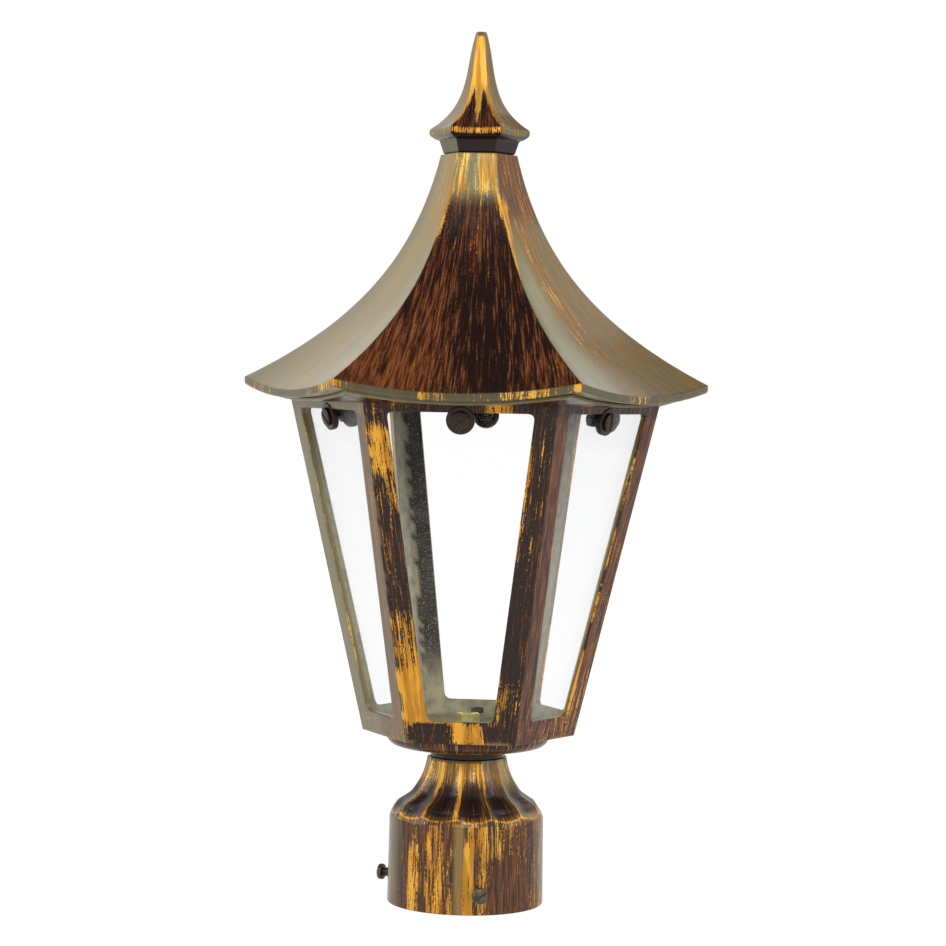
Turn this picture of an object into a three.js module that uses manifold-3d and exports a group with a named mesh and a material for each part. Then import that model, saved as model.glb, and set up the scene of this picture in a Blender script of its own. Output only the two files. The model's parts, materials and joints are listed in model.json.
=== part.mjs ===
import * as THREE from 'three';
import { mergeVertices } from 'three/addons/utils/BufferGeometryUtils.js';
import Module from 'manifold-3d';

// A six-sided post top lantern of cast aluminium, in millimetres with +Z up.
// The origin is the middle of the post collar's lower edge. Every hexagon has its
// corners at 0, 60, 120 and so on degrees round Z, so the front face looks along -Y.

// Sizes that all pieces share
const fitGap = 0.3;
const cutOverrun = 2;
const sides = 6;
const flatShare = Math.cos(Math.PI / sides);
const fullTurn = 2 * Math.PI;
const quarterTurn = fullTurn / 4;
const faceTurn = fullTurn / sides;
const degree = fullTurn / 360;
const roundSteps = 48;
const holderSteps = 28;
const boltSteps = 12;

// Post collar: a socket that slips over the post, under a fluted neck
const postDiameter = 76;
const postPlay = 1;
const collarWall = 3.5;
const skirtHeight = 47;
const shoulderHeight = 32.5;
const neckRadius = 21.8;
const neckPlate = 3.5;
const skirtEdge = 0.8;
const fluteDepth = 3.2;
const fluteCount = 13;
const fluteTurn = -10.3;
const stepsPerFlute = 6;
const fluteStartShare = 0.07;
const fluteArchShare = 0.05;
const fluteRiseShare = 0.1;
const fluteFadeShare = 0.7;
// Each pair is a share of the shoulder's height and of its reach past the neck
const shoulderShares = [
  [0, 0.975],
  [0.04, 0.95],
  [0.08, 0.925],
  [0.12, 0.895],
  [0.17, 0.85],
  [0.24, 0.77],
  [0.32, 0.59],
  [0.41, 0.4],
  [0.51, 0.29],
  [0.64, 0.17],
  [0.8, 0.07],
  [1, 0],
];
// The hollow under the shoulder follows it with three pairs of the same kind
const neckHollowShares = [
  [0.17, 0.8],
  [0.36, 0.44],
  [0.6, 0.18],
];

// Crown of every slotted screw head: its share of the head's height, then pairs that are
// a share of the head's radius and of the crown, from the rim inwards
const headCrownShare = 0.35;
const headCrownShares = [
  [0.8, 0.3],
  [0.45, 0],
];

// Set screws that grip the post
const setScrewCount = 3;
const setScrewHeight = 12;
const setScrewTurn = 14;
const setScrewRadius = 2.5;
const setScrewHeadRim = 1.8;
const setScrewHeadHeight = 3.3;
const setScrewLength = 9.7;
const setScrewStand = 5.7;
const setScrewSlotWidth = 1.2;
const setScrewSlotDepth = 1.1;
const setScrewSlotTurn = 30;

// Base pan between the collar and the cage
const panHeight = 12.4;
const panNeckStep = 1.6;
const panNeckHeight = 4.4;
const panInset = 5.6;
const panWall = 3;
const panBossRim = 7;
// Each pair is a share of the bowl's reach past its neck and of its height
const panBowlShares = [
  [0, 0],
  [0.3, 0.02],
  [0.55, 0.07],
  [0.75, 0.17],
  [0.89, 0.34],
  [0.97, 0.62],
  [1, 1],
];

// Threaded nipple that holds collar, pan and cage together and lets the wires in
const nippleRadius = 4;
const nippleWall = 1.2;
const nippleTail = 3;
const nippleNutRim = 1.2;
const lowerNutHeight = 3.5;
const couplingHeight = 7.2;
const nippleStandShare = 0.7;

// Lantern cage: floor, six corner posts, head rail, cornice and screw lugs
const cageBaseRadius = 57.9;
const cageTopRadius = 100.4;
const cageHeight = 179.5;
const cageWall = 3.2;
const floorThickness = 3.2;
const sillHeight = 11.7;
const headRail = 4.1;
const postWidthLow = 12.8;
const postWidthHigh = 11.4;
const windowRound = 4;
const corniceReach = 15.6;
const corniceRise = 5;
const corniceEdge = 1.8;
const upstandHeight = 4.5;
const upstandWall = 2;
const upstandSetbackShare = 0.4;
const lugRadius = 7.5;
const lugDrop = 3.8;
const lugProud = 0.6;
const lugSetback = 0.4;
const stepsPerFace = 6;

// Earth terminal on the cage floor
const earthReach = 30;
const earthSideways = 2.5;
const earthBossRadius = 4.6;
const earthBossHeight = 4;
const earthScrewRadius = 2;
const earthHeadRim = 1.5;
const earthHeadHeight = 3;
const earthSlotWidth = 0.9;

// Glass panes, each held at its head by one screw and nut
const paneThickness = 3;
const paneScrewRadius = 2.5;
const paneScrewHeadRim = 2.4;
const paneScrewHeadHeight = 1.7;
const paneScrewTail = 1.5;
const paneScrewSlotWidth = 1.2;
const paneScrewSlotDepth = 0.9;
const paneScrewSlotTurn = 40;
const paneScrewSlotStep = 55;
const paneNutRim = 1.5;
const paneNutHeight = 4;

// Roof: a thin concave hexagonal shell whose eave sags between its corners
const eaveOverhang = 10.5;
const eaveLip = 4.15;
// The eave's lower edge rises by this much past the cornice
const eaveFlare = 0.95;
const eaveSag = 6.5;
const eaveSagPower = 2.5;
const roofRimPlay = 1.2;
const roofHeight = 127.3;
const roofTopRadius = 21;
const roofWall = 3;
const roofPlate = 4;
const roofCurveSteps = 14;
// The eave's lower edge is eased inwards and upwards by these shares of its lip
const eaveEaseShares = [0.15, 0.3];
// Handles of the hip's curve from top to eave, as shares of its reach and of its fall
const roofHandleShares = [
  [0.125, 0.441],
  [0.399, 0.741],
];

// Finial: a hexagonal spire on a flared rim
const finialBaseStep = 1.6;
const finialCoveReach = 2.4;
const finialCoveHeight = 7.3;
const finialRimReach = 5.6;
const finialRimRise = 2.8;
const finialLip = 3;
const finialSag = 0.8;
const finialSpireHeight = 52.9;
const finialTipRadius = 2.9;
const finialCurveSteps = 10;
const finialStepsPerFace = 4;
const finialBore = 18;
// Where the cove turns up into the rim, as shares of the rim's reach and of its rise
const finialCoveShares = [0.4, 0.2];
// Handles of the spire's curve from tip to rim, as shares of its reach and of its fall
const finialHandleShares = [
  [0.26, 0.38],
  [0.07, 0.74],
];

// Stud, washer and nut that hold the finial and the lampholder to the roof
const studRadius = 4;
const studEntry = 16;
const studNutRim = 2.2;
const studNutHeight = 6.5;
const studWasherRim = 6;
const studWasherHeight = 1.6;
const studHold = 9;

// Lampholder for a screw-in lamp, hanging in the roof
const lampThreadRadius = 13.5;
const shellWall = 0.8;
const shellHeight = 24.7;
const holderWall = 5.4;
const holderHeight = 35.7;
const holderMouthStep = 1.3;
const capHeight = 21.4;
const capTopRim = 7.7;
const capWall = 3;
// Shares of the cap's height, counted down from its top
const capCrownShare = 0.08;
const capShoulderShare = 0.3;
const capEdgeShare = 0.55;
const capHollowShare = 0.7;
const contactRadius = 2.5;
const contactHeight = 4.6;
const contactPlay = 1.5;
const contactTipShare = 0.6;
const contactStemShare = 0.8;

// Heights and radii that follow from the sizes above
const socketRadius = postDiameter / 2 + postPlay;
const skirtRadius = socketRadius + collarWall;
const collarHeight = skirtHeight + shoulderHeight;
const panBase = collarHeight + fitGap;
const panTop = panBase + panHeight;
const cageBase = panTop + fitGap;
const floorTop = cageBase + floorThickness;
const headHeight = cageBase + cageHeight;
const corniceRadius = cageTopRadius + corniceReach;
const eaveRadius = corniceRadius + eaveOverhang;
const upstandRadius = corniceRadius - corniceReach * upstandSetbackShare;
const roofSeat = headHeight + corniceRise + corniceEdge + fitGap;
const roofTop = roofSeat + roofHeight;
const finialBase = roofTop + fitGap;
const nippleBore = nippleRadius - nippleWall;
const nippleHole = nippleRadius + fitGap;
const studHole = studRadius + fitGap;

const wasm = await Module();
wasm.setup();

// Solid helpers

// The sum is six times the enclosed volume, and negative where the faces point inwards
function facesOut(positions, triangles) {
  let total = 0;
  const corner = [0, 1, 2].map(() => new THREE.Vector3());
  for (let start = 0; start < triangles.length; start += 3) {
    corner.forEach((vertex, slot) => vertex.fromArray(positions, triangles[start + slot] * 3));
    total += corner[0].dot(corner[1].cross(corner[2]));
  }
  return total > 0;
}

function solid(geometry) {
  const bare = geometry.clone();
  bare.deleteAttribute('normal');
  bare.deleteAttribute('uv');
  const merged = mergeVertices(bare);
  const positions = merged.attributes.position.array;
  const triangles = [];
  for (let start = 0; start < merged.index.count; start += 3) {
    const [a, b, c] = merged.index.array.slice(start, start + 3);
    if (a !== b && b !== c && c !== a) {
      triangles.push(a, b, c);
    }
  }
  if (!facesOut(positions, triangles)) {
    triangles.reverse();
  }
  return new wasm.Manifold(new wasm.Mesh({
    numProp: 3,
    vertProperties: new Float32Array(positions),
    triVerts: new Uint32Array(triangles),
  }));
}

function geometryOf(body) {
  const mesh = body.getMesh();
  const geometry = new THREE.BufferGeometry();
  geometry.setAttribute('position', new THREE.BufferAttribute(mesh.vertProperties, 3));
  geometry.setIndex(new THREE.BufferAttribute(mesh.triVerts, 1));
  geometry.computeVertexNormals();
  return geometry;
}

function subtractAll(body, cutters) {
  return cutters.reduce((rest, cutter) => rest.subtract(solid(cutter)), body);
}

// Profile helpers: a profile is a list of [radius, height] points, bottom to top

// Carries a profile once round Z; place gives the point for a profile point and a column
function carriedRound(profile, columns, place) {
  const closesOnItself = profile[0][0] > 0;
  const positions = [];
  profile.forEach((point) => {
    for (let column = 0; column < columns; column += 1) {
      positions.push(...place(point, column));
    }
  });
  const bands = closesOnItself ? profile.length : profile.length - 1;
  const triangles = [];
  for (let band = 0; band < bands; band += 1) {
    const low = band * columns;
    const high = ((band + 1) % profile.length) * columns;
    for (let column = 0; column < columns; column += 1) {
      const next = (column + 1) % columns;
      triangles.push(low + column, low + next, high + next);
      triangles.push(low + column, high + next, high + column);
    }
  }
  const geometry = new THREE.BufferGeometry();
  geometry.setAttribute('position', new THREE.Float32BufferAttribute(positions, 3));
  geometry.setIndex(triangles);
  return geometry;
}

// Carries a profile of corner radii round a hexagon whose edges sag between the corners
function hexCarried(profile, sagAt, steps) {
  return carriedRound(profile, sides * steps, ([radius, height], column) => {
    const start = Math.floor(column / steps) * faceTurn;
    const end = start + faceTurn;
    const along = (column % steps) / steps;
    const bow = 4 * along * (1 - along);
    return [
      radius * ((1 - along) * Math.cos(start) + along * Math.cos(end)),
      radius * ((1 - along) * Math.sin(start) + along * Math.sin(end)),
      height - sagAt(radius) * bow,
    ];
  });
}

// Turns a profile round Z; one that starts off the axis is closed on itself
function turned(profile, steps) {
  const outline = profile.map(([radius, height]) => new THREE.Vector2(radius, height));
  if (profile[0][0] > 0) {
    outline.push(outline[0]);
  }
  return new THREE.LatheGeometry(outline, steps).rotateX(quarterTurn);
}

function rod(radius, low, high, steps = boltSteps) {
  return turned([[0, low], [radius, low], [radius, high], [0, high]], steps);
}

// A Bezier that falls outwards from one profile point to another, with equal steps along it.
// depth sets its points inwards, square to the curve, which gives a wall's inner face.
function hollowCurve(from, to, handleShares, steps, depth) {
  const handle = ([reach, fall]) => new THREE.Vector2(
    from[0] + (to[0] - from[0]) * reach,
    from[1] + (to[1] - from[1]) * fall,
  );
  const bezier = new THREE.CubicBezierCurve(
    new THREE.Vector2(...from),
    handle(handleShares[0]),
    handle(handleShares[1]),
    new THREE.Vector2(...to),
  );
  return Array.from({ length: steps + 1 }, (_, step) => {
    const point = bezier.getPointAt(step / steps);
    const ahead = bezier.getTangentAt(step / steps);
    return [point.x + ahead.y * depth, point.y - ahead.x * depth];
  });
}

// The height at which a falling curve of profile points passes a radius
function heightAt(points, radius) {
  const next = points.findIndex((point) => point[0] > radius);
  const [before, after] = [points[next - 1], points[next]];
  const share = (radius - before[0]) / (after[0] - before[0]);
  return before[1] + (after[1] - before[1]) * share;
}

// Fasteners stand on Z, with the head's underside at height zero

function slottedScrew(shank, headRadius, headHeight, length, slotWidth, slotDepth) {
  const crown = headHeight * headCrownShare;
  const body = solid(turned([
    [0, -length],
    [shank, -length],
    [shank, 0],
    [headRadius, 0],
    [headRadius, headHeight - crown],
    ...headCrownShares.map(([reach, drop]) => [headRadius * reach, headHeight - crown * drop]),
    [0, headHeight],
  ], boltSteps));
  const slot = new THREE.BoxGeometry(2 * (headRadius + cutOverrun), slotWidth, 2 * slotDepth);
  slot.translate(0, 0, headHeight);
  return geometryOf(body.subtract(solid(slot)));
}

// A hexagonal nut from low to high, whose rim is the metal left at the middle of each flat
function hexNut(hole, rim, low, high) {
  const corner = (hole + rim) / flatShare;
  const body = solid(turned([[0, low], [corner, low], [corner, high], [0, high]], sides));
  return geometryOf(body.subtract(solid(rod(hole, low - cutOverrun, high + cutOverrun))));
}

// Materials
const metal = (color, roughness) => () => new THREE.MeshStandardMaterial({
  color,
  roughness,
  metalness: 0.8,
});
const lacquer = metal(0x3a2818, 0.35);
const darkSteel = metal(0x2e2822, 0.4);
const brass = metal(0xb08a3a, 0.35);
const thinMetal = metal(0xc9c4b4, 0.3);
const ceramic = () => new THREE.MeshStandardMaterial({ color: 0xe8e4da, roughness: 0.4 });
const glass = () => new THREE.MeshStandardMaterial({
  color: 0xf2f4f8,
  roughness: 0.1,
  transparent: true,
  opacity: 0.35,
});

const lantern = new THREE.Group();

function addPiece(name, geometry, material, parent = lantern) {
  const piece = new THREE.Mesh(geometry, material());
  piece.name = name;
  parent.add(piece);
}

// Post collar

function shoulderRadius(share) {
  return neckRadius + (skirtRadius - neckRadius) * share;
}

// A flute is a groove between two sharp ridges, arched at its foot and fading upwards
function fluteCut(heightShare, across) {
  const start = fluteStartShare + fluteArchShare * (2 * across) ** 2;
  const rise = Math.min(1, Math.max(0, (heightShare - start) / fluteRiseShare));
  const fade = 1 - fluteFadeShare * heightShare;
  return fluteDepth * rise * fade * Math.cos(Math.PI * across);
}

function collarSkin() {
  const shoulder = shoulderShares.map(([height, reach]) => [
    shoulderRadius(reach),
    skirtHeight + shoulderHeight * height,
  ]);
  const profile = [
    [0, 0],
    [skirtRadius - skirtEdge, 0],
    [skirtRadius, skirtEdge],
    ...shoulder,
    [0, collarHeight],
  ];
  return carriedRound(profile, fluteCount * stepsPerFlute, ([radius, height], column) => {
    const turn = fluteTurn * degree + (column / (fluteCount * stepsPerFlute)) * fullTurn;
    const across = (column % stepsPerFlute) / stepsPerFlute - 0.5;
    const share = (height - skirtHeight) / shoulderHeight;
    const cut = radius > 0 && share > 0 ? fluteCut(share, across) : 0;
    return [(radius - cut) * Math.cos(turn), (radius - cut) * Math.sin(turn), height];
  });
}

function postCollar() {
  const neckInside = neckRadius - collarWall - fluteDepth * (1 - fluteFadeShare);
  const wall = collarWall + fluteDepth;
  const inside = [
    [0, -cutOverrun],
    [socketRadius, -cutOverrun],
    [socketRadius, skirtHeight - collarWall],
    ...neckHollowShares.map(([height, reach]) => [
      shoulderRadius(reach) - wall,
      skirtHeight + shoulderHeight * height,
    ]),
    [neckInside, collarHeight - neckPlate - lowerNutHeight],
    [neckInside, collarHeight - neckPlate],
    [0, collarHeight - neckPlate],
  ];
  const screwHoles = setScrewTurns().map((turn) => rod(
    setScrewRadius + fitGap,
    socketRadius - cutOverrun,
    skirtRadius + cutOverrun,
  ).rotateX(quarterTurn).translate(0, 0, setScrewHeight).rotateZ(turn));
  const wireHole = rod(nippleHole, collarHeight - neckPlate - cutOverrun, collarHeight + cutOverrun);
  return geometryOf(subtractAll(solid(collarSkin()), [
    turned(inside, roundSteps),
    wireHole,
    ...screwHoles,
  ]));
}

function setScrewTurns() {
  return Array.from({ length: setScrewCount }, (_, index) => (
    setScrewTurn * degree + (index * fullTurn) / setScrewCount
  ));
}

function addCollar() {
  addPiece('post_collar', postCollar(), lacquer);
  setScrewTurns().forEach((turn, index) => {
    const seat = new THREE.Group();
    seat.rotation.set(0, 0, turn);
    const aim = new THREE.Group();
    aim.position.set(0, -(skirtRadius + setScrewStand), setScrewHeight);
    aim.rotation.set(quarterTurn, 0, 0);
    const screw = slottedScrew(
      setScrewRadius,
      setScrewRadius + setScrewHeadRim,
      setScrewHeadHeight,
      setScrewLength,
      setScrewSlotWidth,
      setScrewSlotDepth,
    );
    addPiece(`set_screw_${index + 1}`, screw.rotateZ(setScrewSlotTurn * degree), darkSteel, aim);
    seat.add(aim);
    lantern.add(seat);
  });
}

// Base pan

function basePan() {
  const neck = neckRadius - panNeckStep;
  const rim = cageBaseRadius * flatShare - panInset;
  const bowlHeight = panHeight - panNeckHeight;
  const bowl = panBowlShares.map(([reach, height]) => [
    neck + (rim - neck) * reach,
    panBase + panNeckHeight + bowlHeight * height,
  ]);
  const boss = nippleHole + panBossRim;
  const hollow = bowl.slice(2, -2).reverse().map(([radius, height]) => [
    Math.max(boss + panWall, radius - panWall),
    Math.min(panTop, height + panWall),
  ]);
  const hollowFloor = hollow[hollow.length - 1][1];
  return turned([
    [nippleHole, panBase],
    [neck, panBase],
    ...bowl,
    [rim - panWall, panTop],
    ...hollow,
    [boss, hollowFloor],
    [boss, panTop],
    [nippleHole, panTop],
  ], roundSteps);
}

function addBase() {
  addPiece('base_pan', geometryOf(solid(basePan())), lacquer);
  const nutTop = collarHeight - neckPlate - fitGap;
  const nutBase = nutTop - lowerNutHeight;
  const nippleEnd = floorTop + fitGap + couplingHeight * nippleStandShare;
  const nipple = turned([
    [nippleBore, nutBase - nippleTail],
    [nippleRadius, nutBase - nippleTail],
    [nippleRadius, nippleEnd],
    [nippleBore, nippleEnd],
  ], boltSteps);
  addPiece('threaded_nipple', geometryOf(solid(nipple)), brass);
  addPiece('lower_nut', hexNut(nippleHole, nippleNutRim, nutBase, nutTop), brass);
  const couplingBase = floorTop + fitGap;
  const coupling = hexNut(nippleHole, nippleNutRim, couplingBase, couplingBase + couplingHeight);
  addPiece('coupling_nut', coupling, brass);
}

// Lantern cage

const wallSlope = ((cageTopRadius - cageBaseRadius) * flatShare) / cageHeight;
const wallLean = Math.atan(wallSlope);
const slopeHeight = (height) => height / Math.cos(wallLean);

// A group whose x runs along a face, y up its slope and z out of it
function faceFrame(index) {
  const turn = new THREE.Group();
  turn.rotation.set(0, 0, index * faceTurn);
  const face = new THREE.Group();
  face.position.set(0, -cageBaseRadius * flatShare, cageBase);
  face.rotation.set(quarterTurn + wallLean, 0, 0);
  turn.add(face);
  lantern.add(turn);
  turn.updateMatrixWorld(true);
  return face;
}

const faces = Array.from({ length: sides }, (_, index) => faceFrame(index));

function cageRadiusAt(height) {
  return cageBaseRadius + ((cageTopRadius - cageBaseRadius) * height) / cageHeight;
}

// The opening in one face: a trapezium with rounded corners
function windowCutter() {
  const lowHalf = cageRadiusAt(sillHeight) / 2 - postWidthLow;
  const highHalf = cageRadiusAt(cageHeight - headRail) / 2 - postWidthHigh;
  const corners = [
    [-lowHalf, slopeHeight(sillHeight)],
    [lowHalf, slopeHeight(sillHeight)],
    [highHalf, slopeHeight(cageHeight - headRail)],
    [-highHalf, slopeHeight(cageHeight - headRail)],
  ].map((corner) => new THREE.Vector2(...corner));
  const outline = new THREE.Shape();
  corners.forEach((corner, index) => {
    const before = corners[(index + 3) % 4].clone().sub(corner).setLength(windowRound);
    const after = corners[(index + 1) % 4].clone().sub(corner).setLength(windowRound);
    const start = corner.clone().add(before);
    const end = corner.clone().add(after);
    if (index === 0) {
      outline.moveTo(start.x, start.y);
    } else {
      outline.lineTo(start.x, start.y);
    }
    outline.quadraticCurveTo(corner.x, corner.y, end.x, end.y);
  });
  outline.closePath();
  const depth = cageWall + 2 * cutOverrun;
  const cutter = new THREE.ExtrudeGeometry(outline, { depth, bevelEnabled: false, curveSegments: 3 });
  return cutter.translate(0, 0, -cageWall - cutOverrun);
}

const lugCentre = slopeHeight(cageHeight - headRail - lugDrop);

function lug() {
  const disc = rod(lugRadius, lugSetback - cageWall, lugProud, 2 * boltSteps);
  return disc.translate(0, lugCentre, 0);
}

function lugHole() {
  const hole = rod(paneScrewRadius + fitGap, -cageWall - cutOverrun, lugProud + cutOverrun);
  return hole.translate(0, lugCentre, 0);
}

const wallAtCorner = cageWall / Math.cos(wallLean) / flatShare;

// The tapering walls with the floor, up to the cornice's top
function cageWalls() {
  return hexCarried([
    [0, cageBase],
    [cageBaseRadius, cageBase],
    [cageRadiusAt(cageHeight + corniceEdge), headHeight + corniceEdge],
    [cageRadiusAt(cageHeight + corniceEdge) - wallAtCorner, headHeight + corniceEdge],
    [cageRadiusAt(floorThickness) - wallAtCorner, floorTop],
    [0, floorTop],
  ], () => 0, 1);
}

// The cornice is level at the middle of each face and rises to the corners, as the eave does
function cornice() {
  const riseAt = (radius) => corniceRise * Math.max(0, (radius - cageTopRadius) / corniceReach);
  const top = headHeight + corniceEdge;
  const root = cageTopRadius - wallAtCorner / 2;
  const upstandInside = upstandRadius - upstandWall;
  return hexCarried([
    [root, headHeight],
    [cageTopRadius, headHeight],
    [corniceRadius, headHeight + corniceRise],
    [corniceRadius, top + corniceRise],
    [upstandRadius, top + riseAt(upstandRadius)],
    [upstandRadius, top + riseAt(upstandRadius) + upstandHeight],
    [upstandInside, top + riseAt(upstandInside) + upstandHeight],
    [upstandInside, top + riseAt(upstandInside)],
    [root, top],
  ], riseAt, stepsPerFace);
}

function lanternCage() {
  const inPlace = (geometry, face) => geometry.applyMatrix4(face.matrixWorld);
  const framed = subtractAll(solid(cageWalls()), faces.map((face) => inPlace(windowCutter(), face)));
  const crowned = framed.add(solid(cornice()));
  const lugged = faces.reduce((body, face) => body.add(solid(inPlace(lug(), face))), crowned);
  const boss = rod(earthBossRadius, cageBase + floorThickness / 2, floorTop + earthBossHeight);
  const bossed = lugged.add(solid(boss.translate(earthSideways, earthReach, 0)));
  const nippleWay = rod(nippleHole, cageBase - cutOverrun, floorTop + cutOverrun);
  const earthWay = rod(
    earthScrewRadius + fitGap,
    cageBase + floorThickness / 2,
    floorTop + earthBossHeight + cutOverrun,
  ).translate(earthSideways, earthReach, 0);
  const lugHoles = faces.map((face) => inPlace(lugHole(), face));
  return geometryOf(subtractAll(bossed, [nippleWay, earthWay, ...lugHoles]));
}

function addCage() {
  addPiece('lantern_cage', lanternCage(), lacquer);
  const earth = slottedScrew(
    earthScrewRadius,
    earthScrewRadius + earthHeadRim,
    earthHeadHeight,
    earthBossHeight,
    earthSlotWidth,
    earthHeadHeight / 2,
  );
  earth.translate(earthSideways, earthReach, floorTop + earthBossHeight + fitGap);
  addPiece('earth_screw', earth, darkSteel);
}

// Glass panes with their screws and nuts

function glassPane() {
  const front = -cageWall - fitGap;
  const back = front - paneThickness;
  const low = (floorThickness + fitGap) / Math.cos(wallLean) + front * Math.tan(wallLean);
  const high = slopeHeight(cageHeight);
  const flatAt = (up) => cageBaseRadius * flatShare + up * Math.sin(wallLean) + back * Math.cos(wallLean);
  const halfAt = (up) => flatAt(up) * Math.tan(Math.PI / sides) - fitGap;
  const outline = new THREE.Shape([
    new THREE.Vector2(-halfAt(low), low),
    new THREE.Vector2(halfAt(low), low),
    new THREE.Vector2(halfAt(high), high),
    new THREE.Vector2(-halfAt(high), high),
  ]);
  const pane = new THREE.ExtrudeGeometry(outline, { depth: paneThickness, bevelEnabled: false });
  const hole = rod(paneScrewRadius + fitGap, back - cutOverrun, front + cutOverrun);
  return geometryOf(subtractAll(solid(pane.translate(0, 0, back)), [hole.translate(0, lugCentre, 0)]));
}

function addPanes() {
  const nutTop = -cageWall - fitGap - paneThickness - fitGap;
  const nutBase = nutTop - paneNutHeight;
  const headSeat = lugProud + fitGap;
  faces.forEach((face, index) => {
    addPiece(`glass_pane_${index + 1}`, glassPane(), glass, face);
    const screw = slottedScrew(
      paneScrewRadius,
      paneScrewRadius + paneScrewHeadRim,
      paneScrewHeadHeight,
      headSeat - nutBase + paneScrewTail,
      paneScrewSlotWidth,
      paneScrewSlotDepth,
    );
    const slotTurn = (paneScrewSlotTurn + paneScrewSlotStep * index) * degree;
    screw.rotateZ(slotTurn).translate(0, lugCentre, headSeat);
    addPiece(`pane_screw_${index + 1}`, screw, darkSteel, face);
    const nut = hexNut(paneScrewRadius + fitGap, paneNutRim, nutBase, nutTop);
    addPiece(`pane_nut_${index + 1}`, nut.translate(0, lugCentre, 0), darkSteel, face);
  });
}

// Roof

function roofSagAt(radius) {
  const share = (radius - roofTopRadius) / (eaveRadius - roofTopRadius);
  return eaveSag * Math.max(0, share) ** eaveSagPower;
}

function roofShell() {
  const rimInside = upstandRadius + roofRimPlay;
  const ceiling = roofTop - roofPlate;
  // The foot of the eave seats above the cornice's edge and flares upwards past it
  const footAt = (radius) => roofSeat + (eaveFlare * (radius - corniceRadius)) / eaveOverhang;
  const hip = (depth) => hollowCurve(
    [roofTopRadius, roofTop],
    [eaveRadius, footAt(eaveRadius) + eaveLip],
    roofHandleShares,
    roofCurveSteps,
    depth,
  );
  const inner = hip(roofWall / flatShare);
  const inside = inner.filter(([radius, height]) => (
    radius < rimInside - roofWall / 2 && height < ceiling - roofWall / 2
  ));
  const profile = [
    [0, ceiling],
    [inner[0][0], ceiling],
    ...inside,
    [rimInside, heightAt(inner, rimInside)],
    [rimInside, footAt(rimInside)],
    [eaveRadius - eaveLip * eaveEaseShares[0], footAt(eaveRadius)],
    [eaveRadius, footAt(eaveRadius) + eaveLip * eaveEaseShares[1]],
    ...hip(0).reverse(),
    [0, roofTop],
  ];
  const hole = rod(studHole, ceiling - cutOverrun, roofTop + cutOverrun);
  return geometryOf(subtractAll(solid(hexCarried(profile, roofSagAt, stepsPerFace)), [hole]));
}

// Finial

function finialSpire() {
  const base = roofTopRadius - finialBaseStep;
  const cove = base + finialCoveReach;
  const rim = cove + finialRimReach;
  const rimFoot = finialBase + finialCoveHeight + finialRimRise;
  const rimTop = rimFoot + finialLip;
  const tip = rimTop + finialSpireHeight;
  const spire = hollowCurve([finialTipRadius, tip], [rim, rimTop], finialHandleShares, finialCurveSteps, 0);
  const profile = [
    [0, finialBase],
    [base, finialBase],
    [cove, finialBase + finialCoveHeight],
    [
      cove + finialRimReach * finialCoveShares[0],
      finialBase + finialCoveHeight + finialRimRise * finialCoveShares[1],
    ],
    [rim, rimFoot],
    ...spire.reverse(),
    [0, tip],
  ];
  const sagAt = (radius) => finialSag * Math.max(0, (radius - cove) / finialRimReach);
  const bore = rod(studHole, finialBase - cutOverrun, finialBase + finialBore);
  return geometryOf(subtractAll(solid(hexCarried(profile, sagAt, finialStepsPerFace)), [bore]));
}

function addRoof() {
  addPiece('roof', roofShell(), lacquer);
  addPiece('finial', finialSpire(), lacquer);
}

// Stud, washer, nut and lampholder, stacked down from the roof's top plate

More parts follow.
